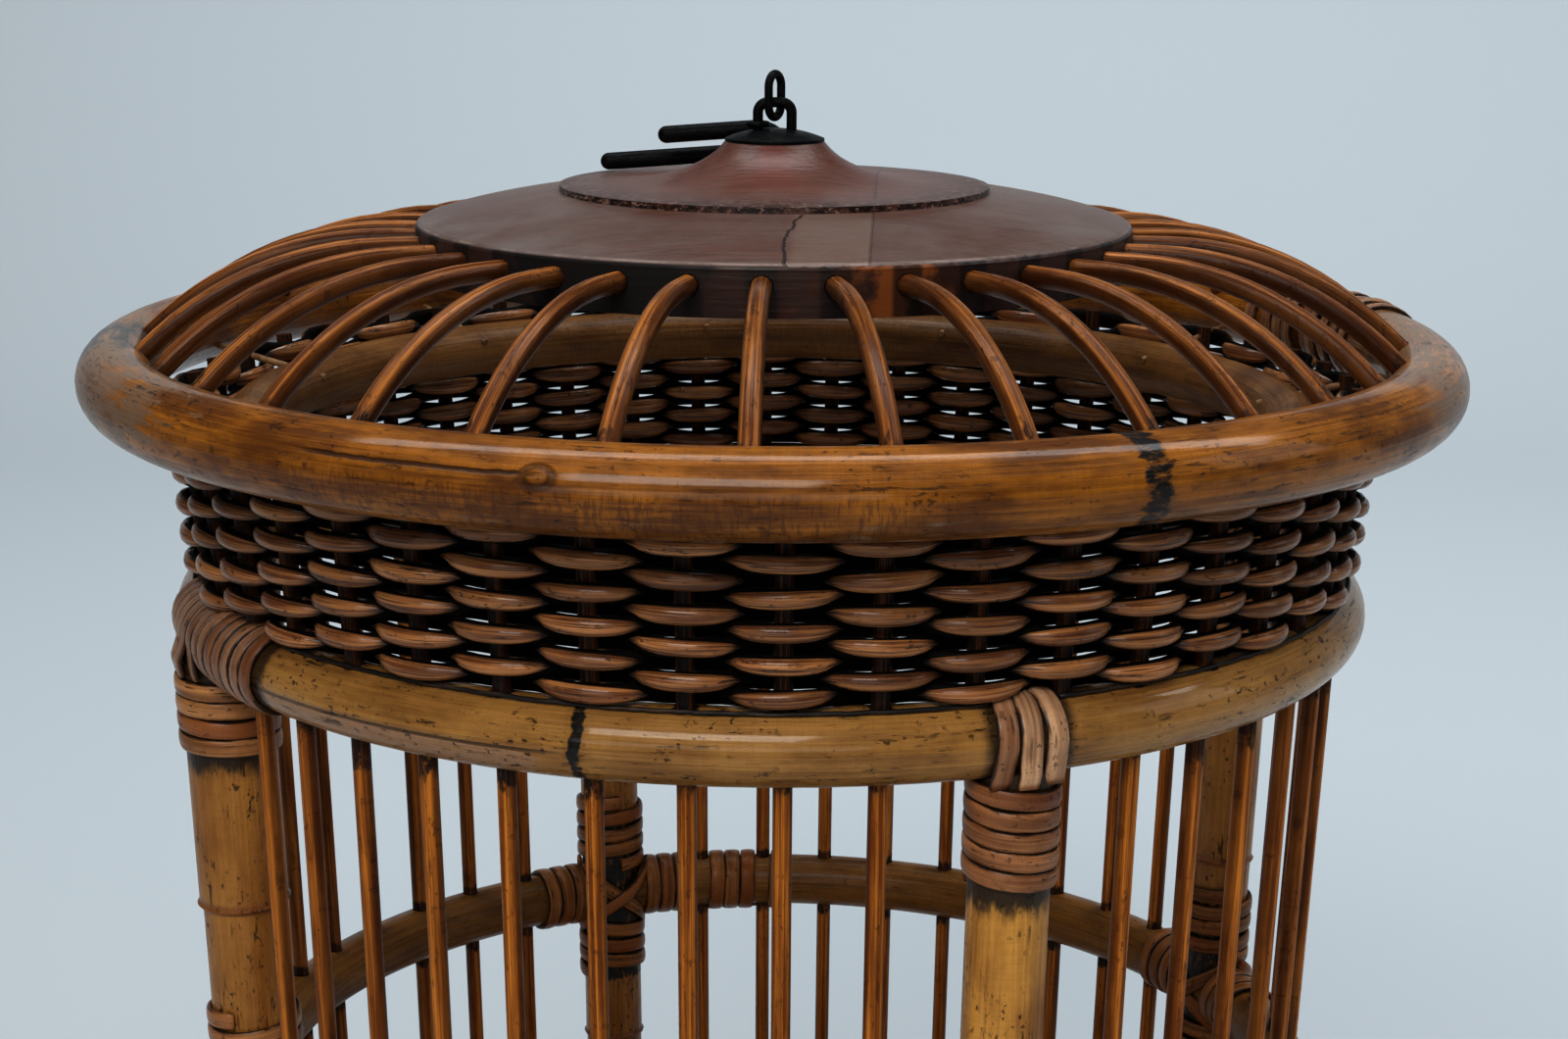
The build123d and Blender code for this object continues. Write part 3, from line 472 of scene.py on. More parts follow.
def woven_band(finish):
    luck = random.Random(5)
    rows = bmesh.new()
    uv = rows.loops.layers.uv.new("UVMap")

    def lay(parts, sides, shape, turn_uv):
        made = bmesh.ops.create_grid(rows, x_segments=parts, y_segments=sides, size=0.5, calc_uvs=True)
        laid = {f for v in made["verts"] for f in v.link_faces}
        for face in laid:
            for corner in face.loops:
                corner[uv].uv = turn_uv(corner[uv].uv)
        for v in made["verts"]:
            v.co = shape(v.co.x + 0.5, full_turn * (v.co.y + 0.5))
        return laid

    for row in range(row_count):
        height = row_top - row_pitch * row
        bend = wall_bend(height)

        def core(share, about):
            at = share * stake_count
            out = math.cos(math.pi * (at + row))
            side = abs(out)
            angle = stake_first + stake_step * (at + 0.5)
            sway = math.copysign(side ** sway_bluntness, out) * (strand_sway - core_pull)
            reach = bend + sway + core_half * math.cos(about)
            deep = core_deep + core_back_deep * max(math.sin(angle), 0.0)
            up = height + (0.0 if out > 0 else back_drop * side) + deep * math.sin(about)
            return reach * math.cos(angle), reach * math.sin(angle), up

        for face in lay(stake_count * 6, 8, core, lambda at: (0.5, -0.5)):
            face.material_index = 1
        for stake in range(stake_count):
            side = 1 if (stake + row) % 2 == 0 else -1
            long = luck.uniform(0.56, 0.63)
            high, drop = luck.uniform(0.0022, 0.0027), luck.uniform(-0.0004, 0.0004)
            tilt = luck.uniform(-0.0006, 0.0006)
            if side < 0:
                drop, high = drop + back_drop, high + 0.0005
            number = stake + stake_count * row

            def float_shape(share, about):
                t = 2 * share - 1
                angle = stake_first + stake_step * (stake + 0.5 + long * t)
                bow = max(math.cos(math.pi * long * t), 0.0) ** sway_bluntness
                path = bow * (strand_sway - float_pull) + float_seat
                taper = max(1 - abs(t) ** 2.8, 0.0) ** 0.78
                deep = tip_deep + float_deep * taper
                reach = bend + side * (path + deep * math.cos(about))
                up = height + drop + tilt * t + (tip_high + high * taper) * math.sin(about)
                return reach * math.cos(angle), reach * math.sin(angle), up

            lay(13, 10, float_shape, lambda at: (number + 0.05 + 0.9 * at.x, at.y))
    bmesh.ops.remove_doubles(rows, verts=rows.verts, dist=0.000005)
    closed(rows)
    return finished("woven_rows", rows, finish)


def closed(shape):
    """Fills a shape's open ends and turns its faces outward."""
    ends = [e for e in shape.edges if len(e.link_faces) == 1]
    bmesh.ops.holes_fill(shape, edges=ends, sides=0)
    bmesh.ops.recalc_face_normals(shape, faces=shape.faces)


def strand_skin(tree):
    """U counts the floats and runs along each one, V runs round it; the core between them has V below 0."""
    u, v, _ = axes(field(tree, "ShaderNodeTexCoord", output="UV"))
    number = u.of("FLOOR")
    along = (u - number - 0.05) / 0.9
    luck = field(tree, "ShaderNodeTexWhiteNoise", {"noise_dimensions": "1D"}, W=number)
    lines = joined(along * 0.034 + luck, v * 0.014, luck * 3.0)
    colour, rough, relief = bark(lines, strand_tan, strand_brown, strand_bare, Fibre=0.85, Blotch=0.55,
                                 Rings=0.0, Pits=0.9, Worn=0.16, Soot=0.0, Gloss=0.24)
    # Painted light and shade: a float keeps its own colour only mid-float on its outer side, where light
    # falls; its ends and inner side are painted-shade black.
    away = abs(along * 2.0 - 1.0) + ragged(lines, (40, 1500, 0), 0.62, 3, 0.65)
    middle = steps(away, 0.70, 0.98, 1.0, 0.0)
    outward = steps((v * full_turn).of("COSINE") + ragged(lines, (160, 300, 0), 0.5, 3), -0.10, 0.34)
    hairs = steps(grain(lines, (30, 1900, 0), 3), 0.50, 0.66, 1.0, 0.25)
    lit = middle * outward * steps(v, -0.2, -0.1) * (luck * 0.35 + 0.65) * hairs
    return mixed(lit, painted_shade_black, colour), mixed_value(lit, 0.58, rough), relief


# The core sheet between the floats is painted nearly black as shade, with faint dust specks.
def core_skin(tree):
    dust = steps(grain(place_on(tree), (700, 700, 1600), 3), 0.55, 0.80)
    return mixed(dust, core_shade_black, core_dust), 0.62, dust


weave = woven_band(finish_from("weave strand", strand_skin, 0.0003, coat=0.40, coat_roughness=0.13,
                               specular=0.35))
weave.data.materials.append(finish_from("weave shade", core_skin, 0.0002, specular=0.06))
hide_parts("weave_rows")
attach(weave, "cage")


# Foot strand: a thin strand of cane, nearly black with oil, laid along the lower hoop's shoulder
# at the foot of the band, in the runs between the lashings.
foot_half, foot_gap, foot_seat, foot_unrest, foot_wave = 0.0007, 0.0003, 66, 0.8, 2
end_gap, hoop_lashing_gap, left_lashing_gap = 3.3, 18.6, 7.6
foot_black, foot_rubbed = (0.006, 0.004, 0.003), (0.085, 0.045, 0.022)


def foot_strand_skin(tree):
    lines = use(tree, hoop_lines, Bend=0.197, Height=0.411, Start=0.3)["Lines"]
    worn = steps(grain(lines, (60, 500, 500)), 0.46, 0.70)
    return mixed(worn, foot_black, foot_rubbed), 0.5, worn


def foot_strand(finish):
    luck = random.Random(8)
    strand = bmesh.new()
    parts, sides = 90, 8
    for index in range(len(post_names)):
        first = post_first + 90 * index + (hoop_lashing_gap if index == 3 else end_gap)
        last = post_first + 90 * (index + 1) - (left_lashing_gap if index == 2 else end_gap)
        made = bmesh.ops.create_grid(strand, x_segments=parts, y_segments=sides, size=0.5)
        unrest = [luck.uniform(-1, 1) for _ in range(parts + 1)]
        for v in made["verts"]:
            share, about = v.co.x + 0.5, full_turn * (v.co.y + 0.5)
            angle = math.radians(first + (last - first) * share)
            seat = foot_seat + foot_wave * math.sin(5 * angle)
            seat = math.radians(seat + foot_unrest * unrest[round(share * parts)])
            reach = lower_thick + foot_half + foot_gap
            out = lower_bend + reach * math.cos(seat) + foot_half * math.cos(about)
            v.co = (out * math.cos(angle), out * math.sin(angle),
                    lower_height + reach * math.sin(seat) + foot_half * math.sin(about))
    bmesh.ops.remove_doubles(strand, verts=strand.verts, dist=0.000002)
    closed(strand)
    return finished("band_foot_strand", strand, finish)


foot = foot_strand(finish_from("band foot strand", foot_strand_skin, 0.0003))
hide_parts("weave_base_strand")
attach(foot, "cage")


# Bars, stakes and roof spokes: bamboo split and scraped round, stained orange, with dark lines
# along the grain and ends burnt black where they were driven into the hoops. Inside the woven
# band the stakes are painted nearly black as shade.
bar_orange, bar_brown, bar_bare = (0.76, 0.285, 0.040), (0.22, 0.060, 0.006), (0.48, 0.24, 0.08)
bar_hair, bar_side = (0.20, 0.055, 0.008), (0.045, 0.014, 0.005)
spoke_orange, spoke_brown, spoke_bare = (0.55, 0.220, 0.053), (0.12, 0.036, 0.007), (0.50, 0.28, 0.16)
spoke_hair, spoke_side = (0.13, 0.036, 0.006), (0.035, 0.010, 0.004)
spoke_count, spoke_first = 34, math.radians(-91.5)
spoke_step = full_turn / spoke_count
mid_height, mid_thick, base_thick = 0.227, 0.0103, 0.0105


def make_stick_lines():
    """Along and across sticks that stand in a ring, each with its own number."""
    tree, given, fill = group("Stick lines", {"First": 0.0, "Step": 0.1, "Upright": 1.0},
                              {"Lines": "Vector", "Luck": "Float", "Reach": "Float", "Height": "Float"})
    x, y, z = axes(field(tree, "ShaderNodeVectorRotate", {"rotation_type": "Z_AXIS"},
                         Vector=place_on(tree), Angle=given["First"]))
    reach, at = reach_of(x, y), angle_of(y, x) / given["Step"]
    number = at.of("ROUND")
    luck = field(tree, "ShaderNodeTexWhiteNoise", {"noise_dimensions": "1D"}, W=number)
    along = mixed_value(given["Upright"], reach, z) + luck * 7.0
    lateral = (at - number) * given["Step"] * reach
    return fill(Lines=joined(along, lateral, luck), Luck=luck, Reach=reach, Height=z)


stick_lines = make_stick_lines()


def scraped(lines, colour, hair, side_colour, side_from, side_share):
    """Fine dark hairs along a split stick, and darker bands along both its sides."""
    hairs = steps(grain(lines, (9, 1900, 1900), 3), 0.47, 0.62, 0.0, 0.62)
    sides = steps(abs(axes(lines)[1]), side_from, 0.0032) * side_share
    return mixed(sides, mixed(hairs, colour, hair), side_colour)


def bar_skin(tree):
    stick = use(tree, stick_lines, First=-(stake_first + stake_step / 2), Step=stake_step, Upright=1.0)
    height, luck = stick["Height"], stick["Luck"]
    under_hoop = steps(height + luck * 0.010, 0.3800, 0.3950)
    # Painted shade: inside the woven band the stakes are made nearly black and matt (in_band_shade), like the
    # shaded gaps between the strands.
    in_band_shade = steps(height, 0.4080, 0.4120)
    foot = steps(height, 0.0720, 0.0600)
    ends = under_hoop | foot | band(height, mid_height, half=0.0120, soft=0.006)
    soot = ends * 0.60 + luck * 0.05 | in_band_shade * 0.9
    colour, rough, relief = bark(stick["Lines"], bar_orange, bar_brown, bar_bare, Fibre=0.95, Blotch=0.30,
                                 Rings=0.0, Pits=0.5, Worn=0.06, Soot=soot, Gloss=0.30)
    colour = scraped(stick["Lines"], colour, bar_hair, bar_side, side_from=0.0016, side_share=0.80)
    return colour, mixed_value(in_band_shade, rough, 0.62), relief


def spoke_skin(tree):
    stick = use(tree, stick_lines, First=-spoke_first, Step=spoke_step, Upright=0.0)
    ends = steps(stick["Reach"], 0.2010, 0.2085) | steps(stick["Reach"], 0.1230, 0.1190)
    colour, rough, relief = bark(stick["Lines"], spoke_orange, spoke_brown, spoke_bare, Fibre=0.95,
                                 Blotch=0.40, Rings=0.0, Pits=0.5, Worn=0.10, Soot=ends * 0.50, Gloss=0.26)
    colour = scraped(stick["Lines"], colour, spoke_hair, spoke_side, side_from=0.0019, side_share=0.70)
    return colour, rough, relief


dress(finish_from("bar bamboo", bar_skin, 0.0005, coat=0.12, coat_roughness=0.22, specular=0.12),
      "side_bars", "short_stakes", "bars_above_door")
dress(finish_from("spoke bamboo", spoke_skin, 0.0005, coat=0.10, coat_roughness=0.22, specular=0.12),
      "roof_spokes")


# Posts: four thick bamboo poles, each with a swollen joint, sooty under its upper lashing and
# streaked down its length. They lean out with the wall and end in sawn feet.
post_width = {"front_right": (0.0120, 0.0117, 0.34), "back_right": (0.0108, 0.0105, 0.71),
              "back_left": (0.0117, 0.0114, 0.42), "front_left": (0.0144, 0.0134, 0.79)}
wraps_below = {"front_right": 5, "back_right": 4, "back_left": 4, "front_left": 4}
post_length, wrap_pitch, first_wrap = 0.394, 0.0061, 0.0022
wall_lean = (lower_bend - base_bend) / (lower_height - base_height)
post_gold, post_olive, post_brown = (0.78, 0.400, 0.085), (0.50, 0.240, 0.052), (0.26, 0.090, 0.011)
post_bare, joint_red, neck_black = (0.44, 0.24, 0.11), (0.22, 0.07, 0.03), (0.012, 0.009, 0.007)


def post_turn(name):
    return math.radians(post_first + 90 * post_names.index(name))


def post_place(name, height):
    turn = post_turn(name)
    reach = wall_bend(0) + wall_lean * height
    return Vector((reach * math.cos(turn), reach * math.sin(turn), height))


def post_finish(name):
    joint = post_width[name][2] * post_length
    neck_height = lower_height - lower_thick - 0.0063 - wrap_pitch * wraps_below[name]

    def skin_of(tree):
        x, y, height = axes(place_on(tree))
        reach, turn = height * wall_lean + wall_bend(0), post_turn(name)
        lines = joined(height, x - reach * math.cos(turn), y - reach * math.sin(turn))
        neck = steps(height + ragged(lines, (90, 260, 260), 0.014, 4, 0.65), neck_height - 0.0050,
                     neck_height + 0.0010)
        # Painted shade: under the mid and base windings the post is darkened (wraps), so that it reads as
        # shade between the strips.
        wraps_shade = band(height, mid_height, half=0.034, soft=0.006) | band(height, 0.047, half=0.040, soft=0.006)
        soot = band(height, joint, half=0.0025, soft=0.004) * 0.34 | wraps_shade * 0.62
        pale = post_gold if name == "front_right" else post_olive
        colour, rough, relief = bark(lines, pale, post_brown, post_bare, Fibre=0.30, Blotch=0.62,
                                     Rings=0.10, Pits=1.0, Worn=0.06, Soot=soot, Gloss=0.30)
        colour = mixed(band(height, joint, half=0.0008, soft=0.002) * 0.6, colour, joint_red)
        return mixed(neck * 0.93, colour, neck_black), rough, relief

    return finish_from(f"post {name} bamboo", skin_of, 0.0004, coat=0.3, coat_roughness=0.22, specular=0.2)


for name in post_names:
    dress(post_finish(name), f"post_{name}")


# Middle and base hoops: bamboo arcs cut to fit between the posts, brown and half shaded. Their
# ends butt against the posts and are held by the cane.
arc_tan, arc_brown, arc_bare = (0.31, 0.140, 0.028), (0.12, 0.047, 0.009), (0.30, 0.18, 0.10)
arc_seam = math.radians(-111.7)


def arc_finish(title, height):
    def skin_of(tree):
        lines = use(tree, hoop_lines, Bend=wall_bend(height), Height=height, Start=arc_seam)["Lines"]
        return bark(lines, arc_tan, arc_brown, arc_bare, Fibre=0.45, Blotch=0.55, Rings=0.15, Pits=0.5,
                    Worn=0.10, Soot=0.02, Gloss=0.30)

    return finish_from(title, skin_of, 0.0004, coat=0.25, coat_roughness=0.25, specular=0.15)


dress(arc_finish("mid hoop bamboo", mid_height), *[f"mid_hoop_{i}" for i in range(1, 5)])
dress(arc_finish("base hoop bamboo", base_height), *[f"base_hoop_{i}" for i in range(1, 5)])


# Lashings: flat split cane wound wet round posts and hoops, so that it dried tight. Each strip is
# slightly crowned, and its edges are painted dark as shade, for the gaps between strips.
cane_wide, cane_thick, cane_lift = 0.0059, 0.0019, 0.0002
cane_bare, stain_colour, edge_shade_black = (0.52, 0.37, 0.26), (0.22, 0.070, 0.020), (0.018, 0.010, 0.007)
on_posts, pale_on_posts = (1.25, 1.14, 0.80), (0.64, 0.48, 0.34)
cane_luck = random.Random(11)


def lay_cane(pieces, line, length, parts, wide=cane_wide, thick=cane_thick, lift=cane_lift):
    """One flat strip along line(share), which gives the place, the way on and the way out."""
    uv = pieces.loops.layers.uv.verify()
    made = bmesh.ops.create_grid(pieces, x_segments=parts, y_segments=12, size=0.5, calc_uvs=True)
    shift, strip = cane_luck.uniform(0, 50), {f for v in made["verts"] for f in v.link_faces}
    for face in strip:
        for corner in face.loops:
            at = corner[uv].uv
            corner[uv].uv = (at.x * length + shift, math.cos(full_turn * at.y) * cane_wide / 2)
    for v in made["verts"]:
        share, about = v.co.x + 0.5, full_turn * (v.co.y + 0.5)
        place, ahead, outward = line(share)
        over = ahead.cross(outward).normalized()
        side, back = math.cos(about), math.sin(about)
        across = math.copysign(abs(side) ** 0.75, side) * wide / 2
        crown = thick / 2 * (1 + math.copysign(abs(back) ** 0.8, back))
        v.co = place + over * across + outward * (lift + crown)
    bmesh.ops.remove_doubles(pieces, verts=made["verts"], dist=0.000002)
    left = [e for f in strip if f.is_valid for e in f.edges if len(e.link_faces) == 1]
    bmesh.ops.holes_fill(pieces, edges=list(set(left)), sides=0)


def round_post(name, low_start, turns, way, pitch, loose=0.0003):
    """A winding round a post; low_start is its first turn's height, way is up or down."""
    up = (post_place(name, 0.4) - post_place(name, 0.0)).normalized()
    first = Vector((up.z, 0, -up.x)).normalized()
    second = up.cross(first)
    swing = cane_luck.uniform(0, 6)
    wobble = [cane_luck.uniform(-loose, loose) for _ in range(turns * 4 + 2)]
    above, below, joint = post_width[name]

    def line(share):
        turn, step = full_turn * turns * share + swing, share * turns * 4
        low = int(step)
        drift = wobble[low] * (1 - step + low) + wobble[low + 1] * (step - low)
        height = low_start + way * pitch * turns * share + drift
        radius = above if height > joint * post_length else below
        out = first * math.cos(turn) + second * math.sin(turn)
        ahead = second * math.cos(turn) - first * math.sin(turn)
        return post_place(name, height) + out * radius, ahead, out

    return line, full_turn * 0.0135 * turns, 40 * turns


def on_hoop(bend, height, turn, about, seat):
    """A place on a hoop at an azimuth and an angle about the hoop, and the way out there."""
    radial, up = Vector((math.cos(turn), math.sin(turn), 0)), Vector((0, 0, 1))
    out = radial * math.cos(about) + up * math.sin(about)
    return radial * bend + up * height + out * seat, out, up * math.cos(about) - radial * math.sin(about)


def round_hoop(bend, thick, height, azimuth, onward):
    """One turn round a hoop at an azimuth; onward is how far it moves along, in degrees."""
    def line(share):
        turn = math.radians(azimuth + onward * (share - 0.5))
        place, out, ahead = on_hoop(bend, height, turn, full_turn * (share - 0.25), thick)
        beside = Vector((-math.sin(turn), math.cos(turn), 0))
        return place, ahead + beside * (math.radians(onward) * bend / (full_turn * thick)), out

    return line, full_turn * thick, 30


def over_hoop(name, azimuth, onward):
    """A strap from behind a hoop over its top, then down the post and under the first winding."""
    arc, drop, sinks_at, sinks = math.radians(236), 0.0125, 0.008, 0.0012
    width, length = post_width[name][0], arc * lower_thick + drop

    def line(share):
        gone = share * length
        about, down = max(arc - gone / lower_thick, 0.0), max(gone - arc * lower_thick, 0.0)
        turn = math.radians(azimuth + onward * (0.5 - share))
        aside = lower_bend * math.sin(turn - post_turn(name))
        flat = math.sqrt(max(width ** 2 - aside ** 2, (0.8 * lower_thick) ** 2))
        seat = lower_thick + (flat - lower_thick) * min(down / sinks_at, 1.0)
        seat -= sinks * max(down - sinks_at, 0.0) / (drop - sinks_at)
        place, out, ahead = on_hoop(lower_bend, lower_height - down, turn, about, seat)
        return place, -ahead, out

    return line, length, 34


def over_joint(name, height, side, slant, lift):
    """A strip that crosses a post's joint with a hoop, inside or outside the cage."""
    turn, reach, rise, lean = post_turn(name), 1.35, 0.0125, 0.85
    radial = Vector((math.cos(turn), math.sin(turn), 0)) * side
    beside = Vector((-math.sin(turn), math.cos(turn), 0))
    radius = post_width[name][0] + lift

    def line(share):
        t = 2 * share - 1
        out = radial * math.cos(t * reach) + beside * math.sin(t * reach)
        ahead = beside * math.cos(t * reach) - radial * math.sin(t * reach) + Vector((0, 0, lean * slant))
        return post_place(name, height + rise * t * slant) + out * radius, ahead, out

    return line, 0.032, 16


def cane_skin(pale, deep, post_tone=on_posts):
    def skin_of(tree):
        u, v, _ = axes(field(tree, "ShaderNodeTexCoord", output="UV"))
        height = axes(place_on(tree))[2]
        lines = joined(u, v, 0.0)
        colour, rough, relief = bark(lines, pale, deep, cane_bare, Fibre=0.75, Blotch=0.60, Rings=0.12,
                                     Pits=1.0, Worn=0.22, Soot=0.05, Gloss=0.30)
        stained = steps(grain(lines, (9, 0, 0), 2, 0.5), 0.49, 0.60, 0.0, 0.70)
        colour = mixed(stained, colour, stain_colour)
        hoop_foot = lower_height - lower_thick
        colour = mixed(steps(height, hoop_foot + 0.0015, hoop_foot - 0.0005), colour, post_tone, "MULTIPLY")
        # Painted shade: both edges of each strip turn nearly black, for the shaded gaps between strips.
        edge = abs(v) + ragged(lines, (70, 420, 0), 0.0036, 4, 0.65)
        return mixed(steps(edge, 0.0021, 0.0029, 0.0, 0.92), colour, edge_shade_black), rough, relief

    return skin_of


new_skin = cane_skin((0.86, 0.53, 0.31), (0.34, 0.18, 0.095), pale_on_posts)
aged_skin = cane_skin((0.54, 0.290, 0.155), (0.19, 0.088, 0.044))
shaded_skin = cane_skin((0.34, 0.155, 0.062), (0.12, 0.048, 0.019))
cane_finish = finish_from("split cane", aged_skin, 0.0003, coat=0.3, coat_roughness=0.25, specular=0.2)
pale_cane = finish_from("pale cane", new_skin, 0.0003, coat=0.3, coat_roughness=0.25, specular=0.2)
shaded_cane = finish_from("shaded cane", shaded_skin, 0.0003, coat=0.2, coat_roughness=0.3, specular=0.15)


def lashing(title, node, strips, finish):
    pieces = bmesh.new()
    for (line, length, parts), options in strips:
        lay_cane(pieces, line, length, parts, **options)
    bmesh.ops.recalc_face_normals(pieces, faces=pieces.faces)
    made = finished(title, pieces, finish)
    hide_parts(node)
    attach(made, "cage")


strap_step = 1.95
for index, name in enumerate(post_names):
    start = lower_height - lower_thick - first_wrap
    strips = [(round_post(name, start, wraps_below[name], -1, wrap_pitch), {})]
    middle = post_first + 90 * index
    straps = [(middle - strap_step, 1.2), (middle, 0.8), (middle + 2.0, -0.4)]
    if name == "front_left":
        straps = [(middle - 6.4 + strap_step * i, 1.2) for i in range(7)]
    for azimuth, onward in straps:
        if abs(azimuth - middle) < 5.0:
            strips.append((over_hoop(name, azimuth, onward), {"wide": cane_luck.uniform(0.0068, 0.0076)}))
        else:
            strips.append((round_hoop(lower_bend, lower_thick, lower_height, azimuth, onward),
                           {"wide": cane_luck.uniform(0.0058, 0.0064)}))
    finish = pale_cane if name == "front_right" else cane_finish
    lashing(f"cane_post_{name}", f"post_lashing_{name}", strips, finish)
strips = [(round_hoop(lower_bend, lower_thick, lower_height, 208.9 + strap_step * i, 1.2),
           {"wide": cane_luck.uniform(0.0056, 0.0063)}) for i in range(6)]
lashing("cane_hoop_front_left", "hoop_lashing_front_left", strips, cane_finish)

bar_step, beside_post, hoop_wrap_pitch, hoop_offset = 360 / stake_count, 0.9, 0.0066, 0.0034
lowest_wrap = 0.0332
for index, name in enumerate(post_names):
    middle = post_first + 90 * index
    for title, node, height, thick in (("cane_mid", "mid_lashing", mid_height, mid_thick),
                                       ("cane_base", "base_lashing", base_height, base_thick)):
        at_mid, bend = title == "cane_mid", wall_bend(height)
        low = (height - thick if at_mid else lowest_wrap) - hoop_offset
        turns = 5 if name == "front_left" else 4
        strips = [(round_post(name, height + thick + hoop_offset, turns, 1, hoop_wrap_pitch, 0.0006), {}),
                  (round_post(name, low, 3, -1, hoop_wrap_pitch, 0.0006), {})]
        for side in ((-1, 1) if at_mid else (1,)):
            strips.append((over_joint(name, height, side, 1, 0.0002), {"wide": 0.0060}))
            strips.append((over_joint(name, height, side, -1, 0.0019), {"wide": 0.0056}))
        for way in ((-1, 1) if at_mid else ()):
            for i in range(7 if (name == "back_left" and way == -1) else 3):
                gap, at = divmod(i, 3)
                offset = bar_step * (1 + gap) + math.degrees((at - 1) * hoop_wrap_pitch / bend)
                if gap == 0:
                    offset -= beside_post
                strips.append((round_hoop(bend, thick, height, middle + way * offset, 0.9),
                               {"wide": cane_luck.uniform(0.0058, 0.0064)}))
        finish = cane_finish if name.startswith("front") else shaded_cane
        lashing(f"{title}_{name}", f"{node}_{name}", strips, finish)

strips = []
for i in range(9):
    rim_turn = round_hoop(rim_bend, rim_thick, rim_height, 10.6 + 2.25 * i, (1.6, -1.2, 2.4)[i % 3])
    strips.append((rim_turn, {"wide": cane_luck.uniform(0.0052, 0.0062), "thick": 0.0017,
                              "lift": cane_lift + 0.0007 * (i % 2)}))
lashing("cane_rim", "rim_lashing", strips, cane_finish)
strips = [(round_hoop(inner_bend, inner_thick, inner_height, 200.4 + 2.12 * i, 1.4),
           {"wide": cane_luck.uniform(0.0056, 0.0062)}) for i in range(9)]
lashing("cane_inner_hoop", "inner_hoop_lashing", strips, cane_finish)


# Roof cap and the dished block on it: hardwood turned on a lathe, stained red brown and waxed,
# with turning rings, a glued joint, one drying crack and a grey bloom where the wax has dulled,
# made stronger toward the left and right sides as painted sheen.
cap_arris, dome_edge, glue_line, glue_skew = 0.5275, 0.5378, 0.0345, 0.05
cap_pale, cap_deep, cap_cloud = (0.138, 0.064, 0.044), (0.072, 0.029, 0.020), (0.085, 0.022, 0.012)
dome_pale, dome_deep, dome_highlight_red = (0.165, 0.063, 0.042), (0.085, 0.028, 0.018), (0.150, 0.028, 0.014)
bloom_and_sheen_grey, scratch_brown, scar_black = (0.205, 0.184, 0.174), (0.030, 0.012, 0.009), (0.012, 0.006, 0.005)
board_tan, wall_maroon, arris_pale = (0.230, 0.160, 0.122), (0.030, 0.008, 0.005), (0.34, 0.26, 0.23)
wall_red, wall_orange, wall_soot = (0.13, 0.030, 0.010), (0.34, 0.105, 0.018), (0.005, 0.004, 0.004)
chip_black, chip_pale = (0.016, 0.008, 0.006), (0.30, 0.19, 0.15)
crack_from, crack_bow, crack_aside = 0.0736, 0.0050, 0.0085


def turned_wood(tree, pale, deep, bloom):
    """The stained wood of both: its place, colour, grey bloom with painted sheen, relief and glued joint."""
    place = place_on(tree)
    x, y, z = axes(place)
    fibre = steps(grain(place, (22, 420, 420), 5, 0.62), 0.36, 0.66)
    cloud = steps(grain(place, (16, 16, 16), 5, 0.62), 0.36, 0.68)
    rings = grain(joined(reach_of(x, y), z, 0.0), (900, 700, 1), 2, 0.5)
    colour = mixed(cloud * 0.40, mixed(fibre * 0.55, pale, deep), cap_cloud)
    grey = steps(grain(place, (24, 24, 24), 6, 0.62), 0.30, 0.72) * bloom
    # Toward the left and right sides the grey grows stronger: painted sheen on top of the wax bloom.
    grey = grey * steps(abs(x), 0.025, 0.100, 0.75, 1.7)
    grey = grey.sum("MINIMUM", grey, 0.85)
    colour = mixed(grey, colour, bloom_and_sheen_grey)
    scratched = steps(grain(place, (45, 620, 620), 4, 0.7), 0.60, 0.70)
    colour = mixed(scratched * 0.40, colour, scratch_brown)
    skew = x - y * glue_skew
    joint = band(skew, glue_line, half=0.0001, soft=0.0005) * steps(y, 0.06, 0.03) * 0.40
    return place, (x, y, z), colour, grey, rings * 0.45 - fibre * 0.2, joint, skew


def cap_skin(tree):
    place, (x, y, z), colour, grey, relief, joint, skew = turned_wood(tree, cap_pale, cap_deep, bloom=0.42)
    wall = steps(z, cap_arris - 0.0001, cap_arris - 0.0008)
    board = steps(skew, 0.008, 0.013) * steps(skew, 0.0347, 0.0343) * steps(y, -0.06, -0.08)
    colour = mixed(board * 0.42, colour, board_tan)
    bow = ((y + crack_from) * -46.0).of("SINE") * crack_bow
    jagged = x + bow + ragged(place, (1, 60, 220), 0.005, rough=0.8)
    crack = band(jagged, crack_aside, half=0.0002, soft=0.0004) * steps(y, -0.070, -0.074)
    scar = (crack | joint) * (1.0 - wall)
    colour = mixed(scar * 0.85, colour, scar_black)
    colour = mixed(wall * 0.85, colour, wall_maroon)
    arris = band(z, cap_arris + 0.0001, half=0.0001, soft=0.0003)
    arris = arris * steps(grain(place, (90, 90, 90)), 0.42, 0.60)
    colour = mixed(arris * 0.55, colour, arris_pale)
    colour = mixed(steps(grain(place, (35, 35, 60)), 0.56, 0.68) * wall * 0.45, colour, wall_red)
    turn = angle_of(y, x)
    cloudy = turn + ragged(place, (60, 60, 60), 0.5)
    sooty = band(cloudy, math.radians(-117), half=0.22, soft=0.14) * wall
    rubbed = band(cloudy, math.radians(-73), half=0.06, soft=0.07) * wall
    holes = steps(off_step((turn - spoke_first) / spoke_step), 0.26, 0.17) * wall
    colour = mixed(rubbed * 0.75, colour, wall_orange)
    colour = mixed((sooty | holes * 0.85) * 0.95, colour, wall_soot)
    return colour, grey * 0.35 + 0.36 + sooty * 0.30, relief - scar * 2.0


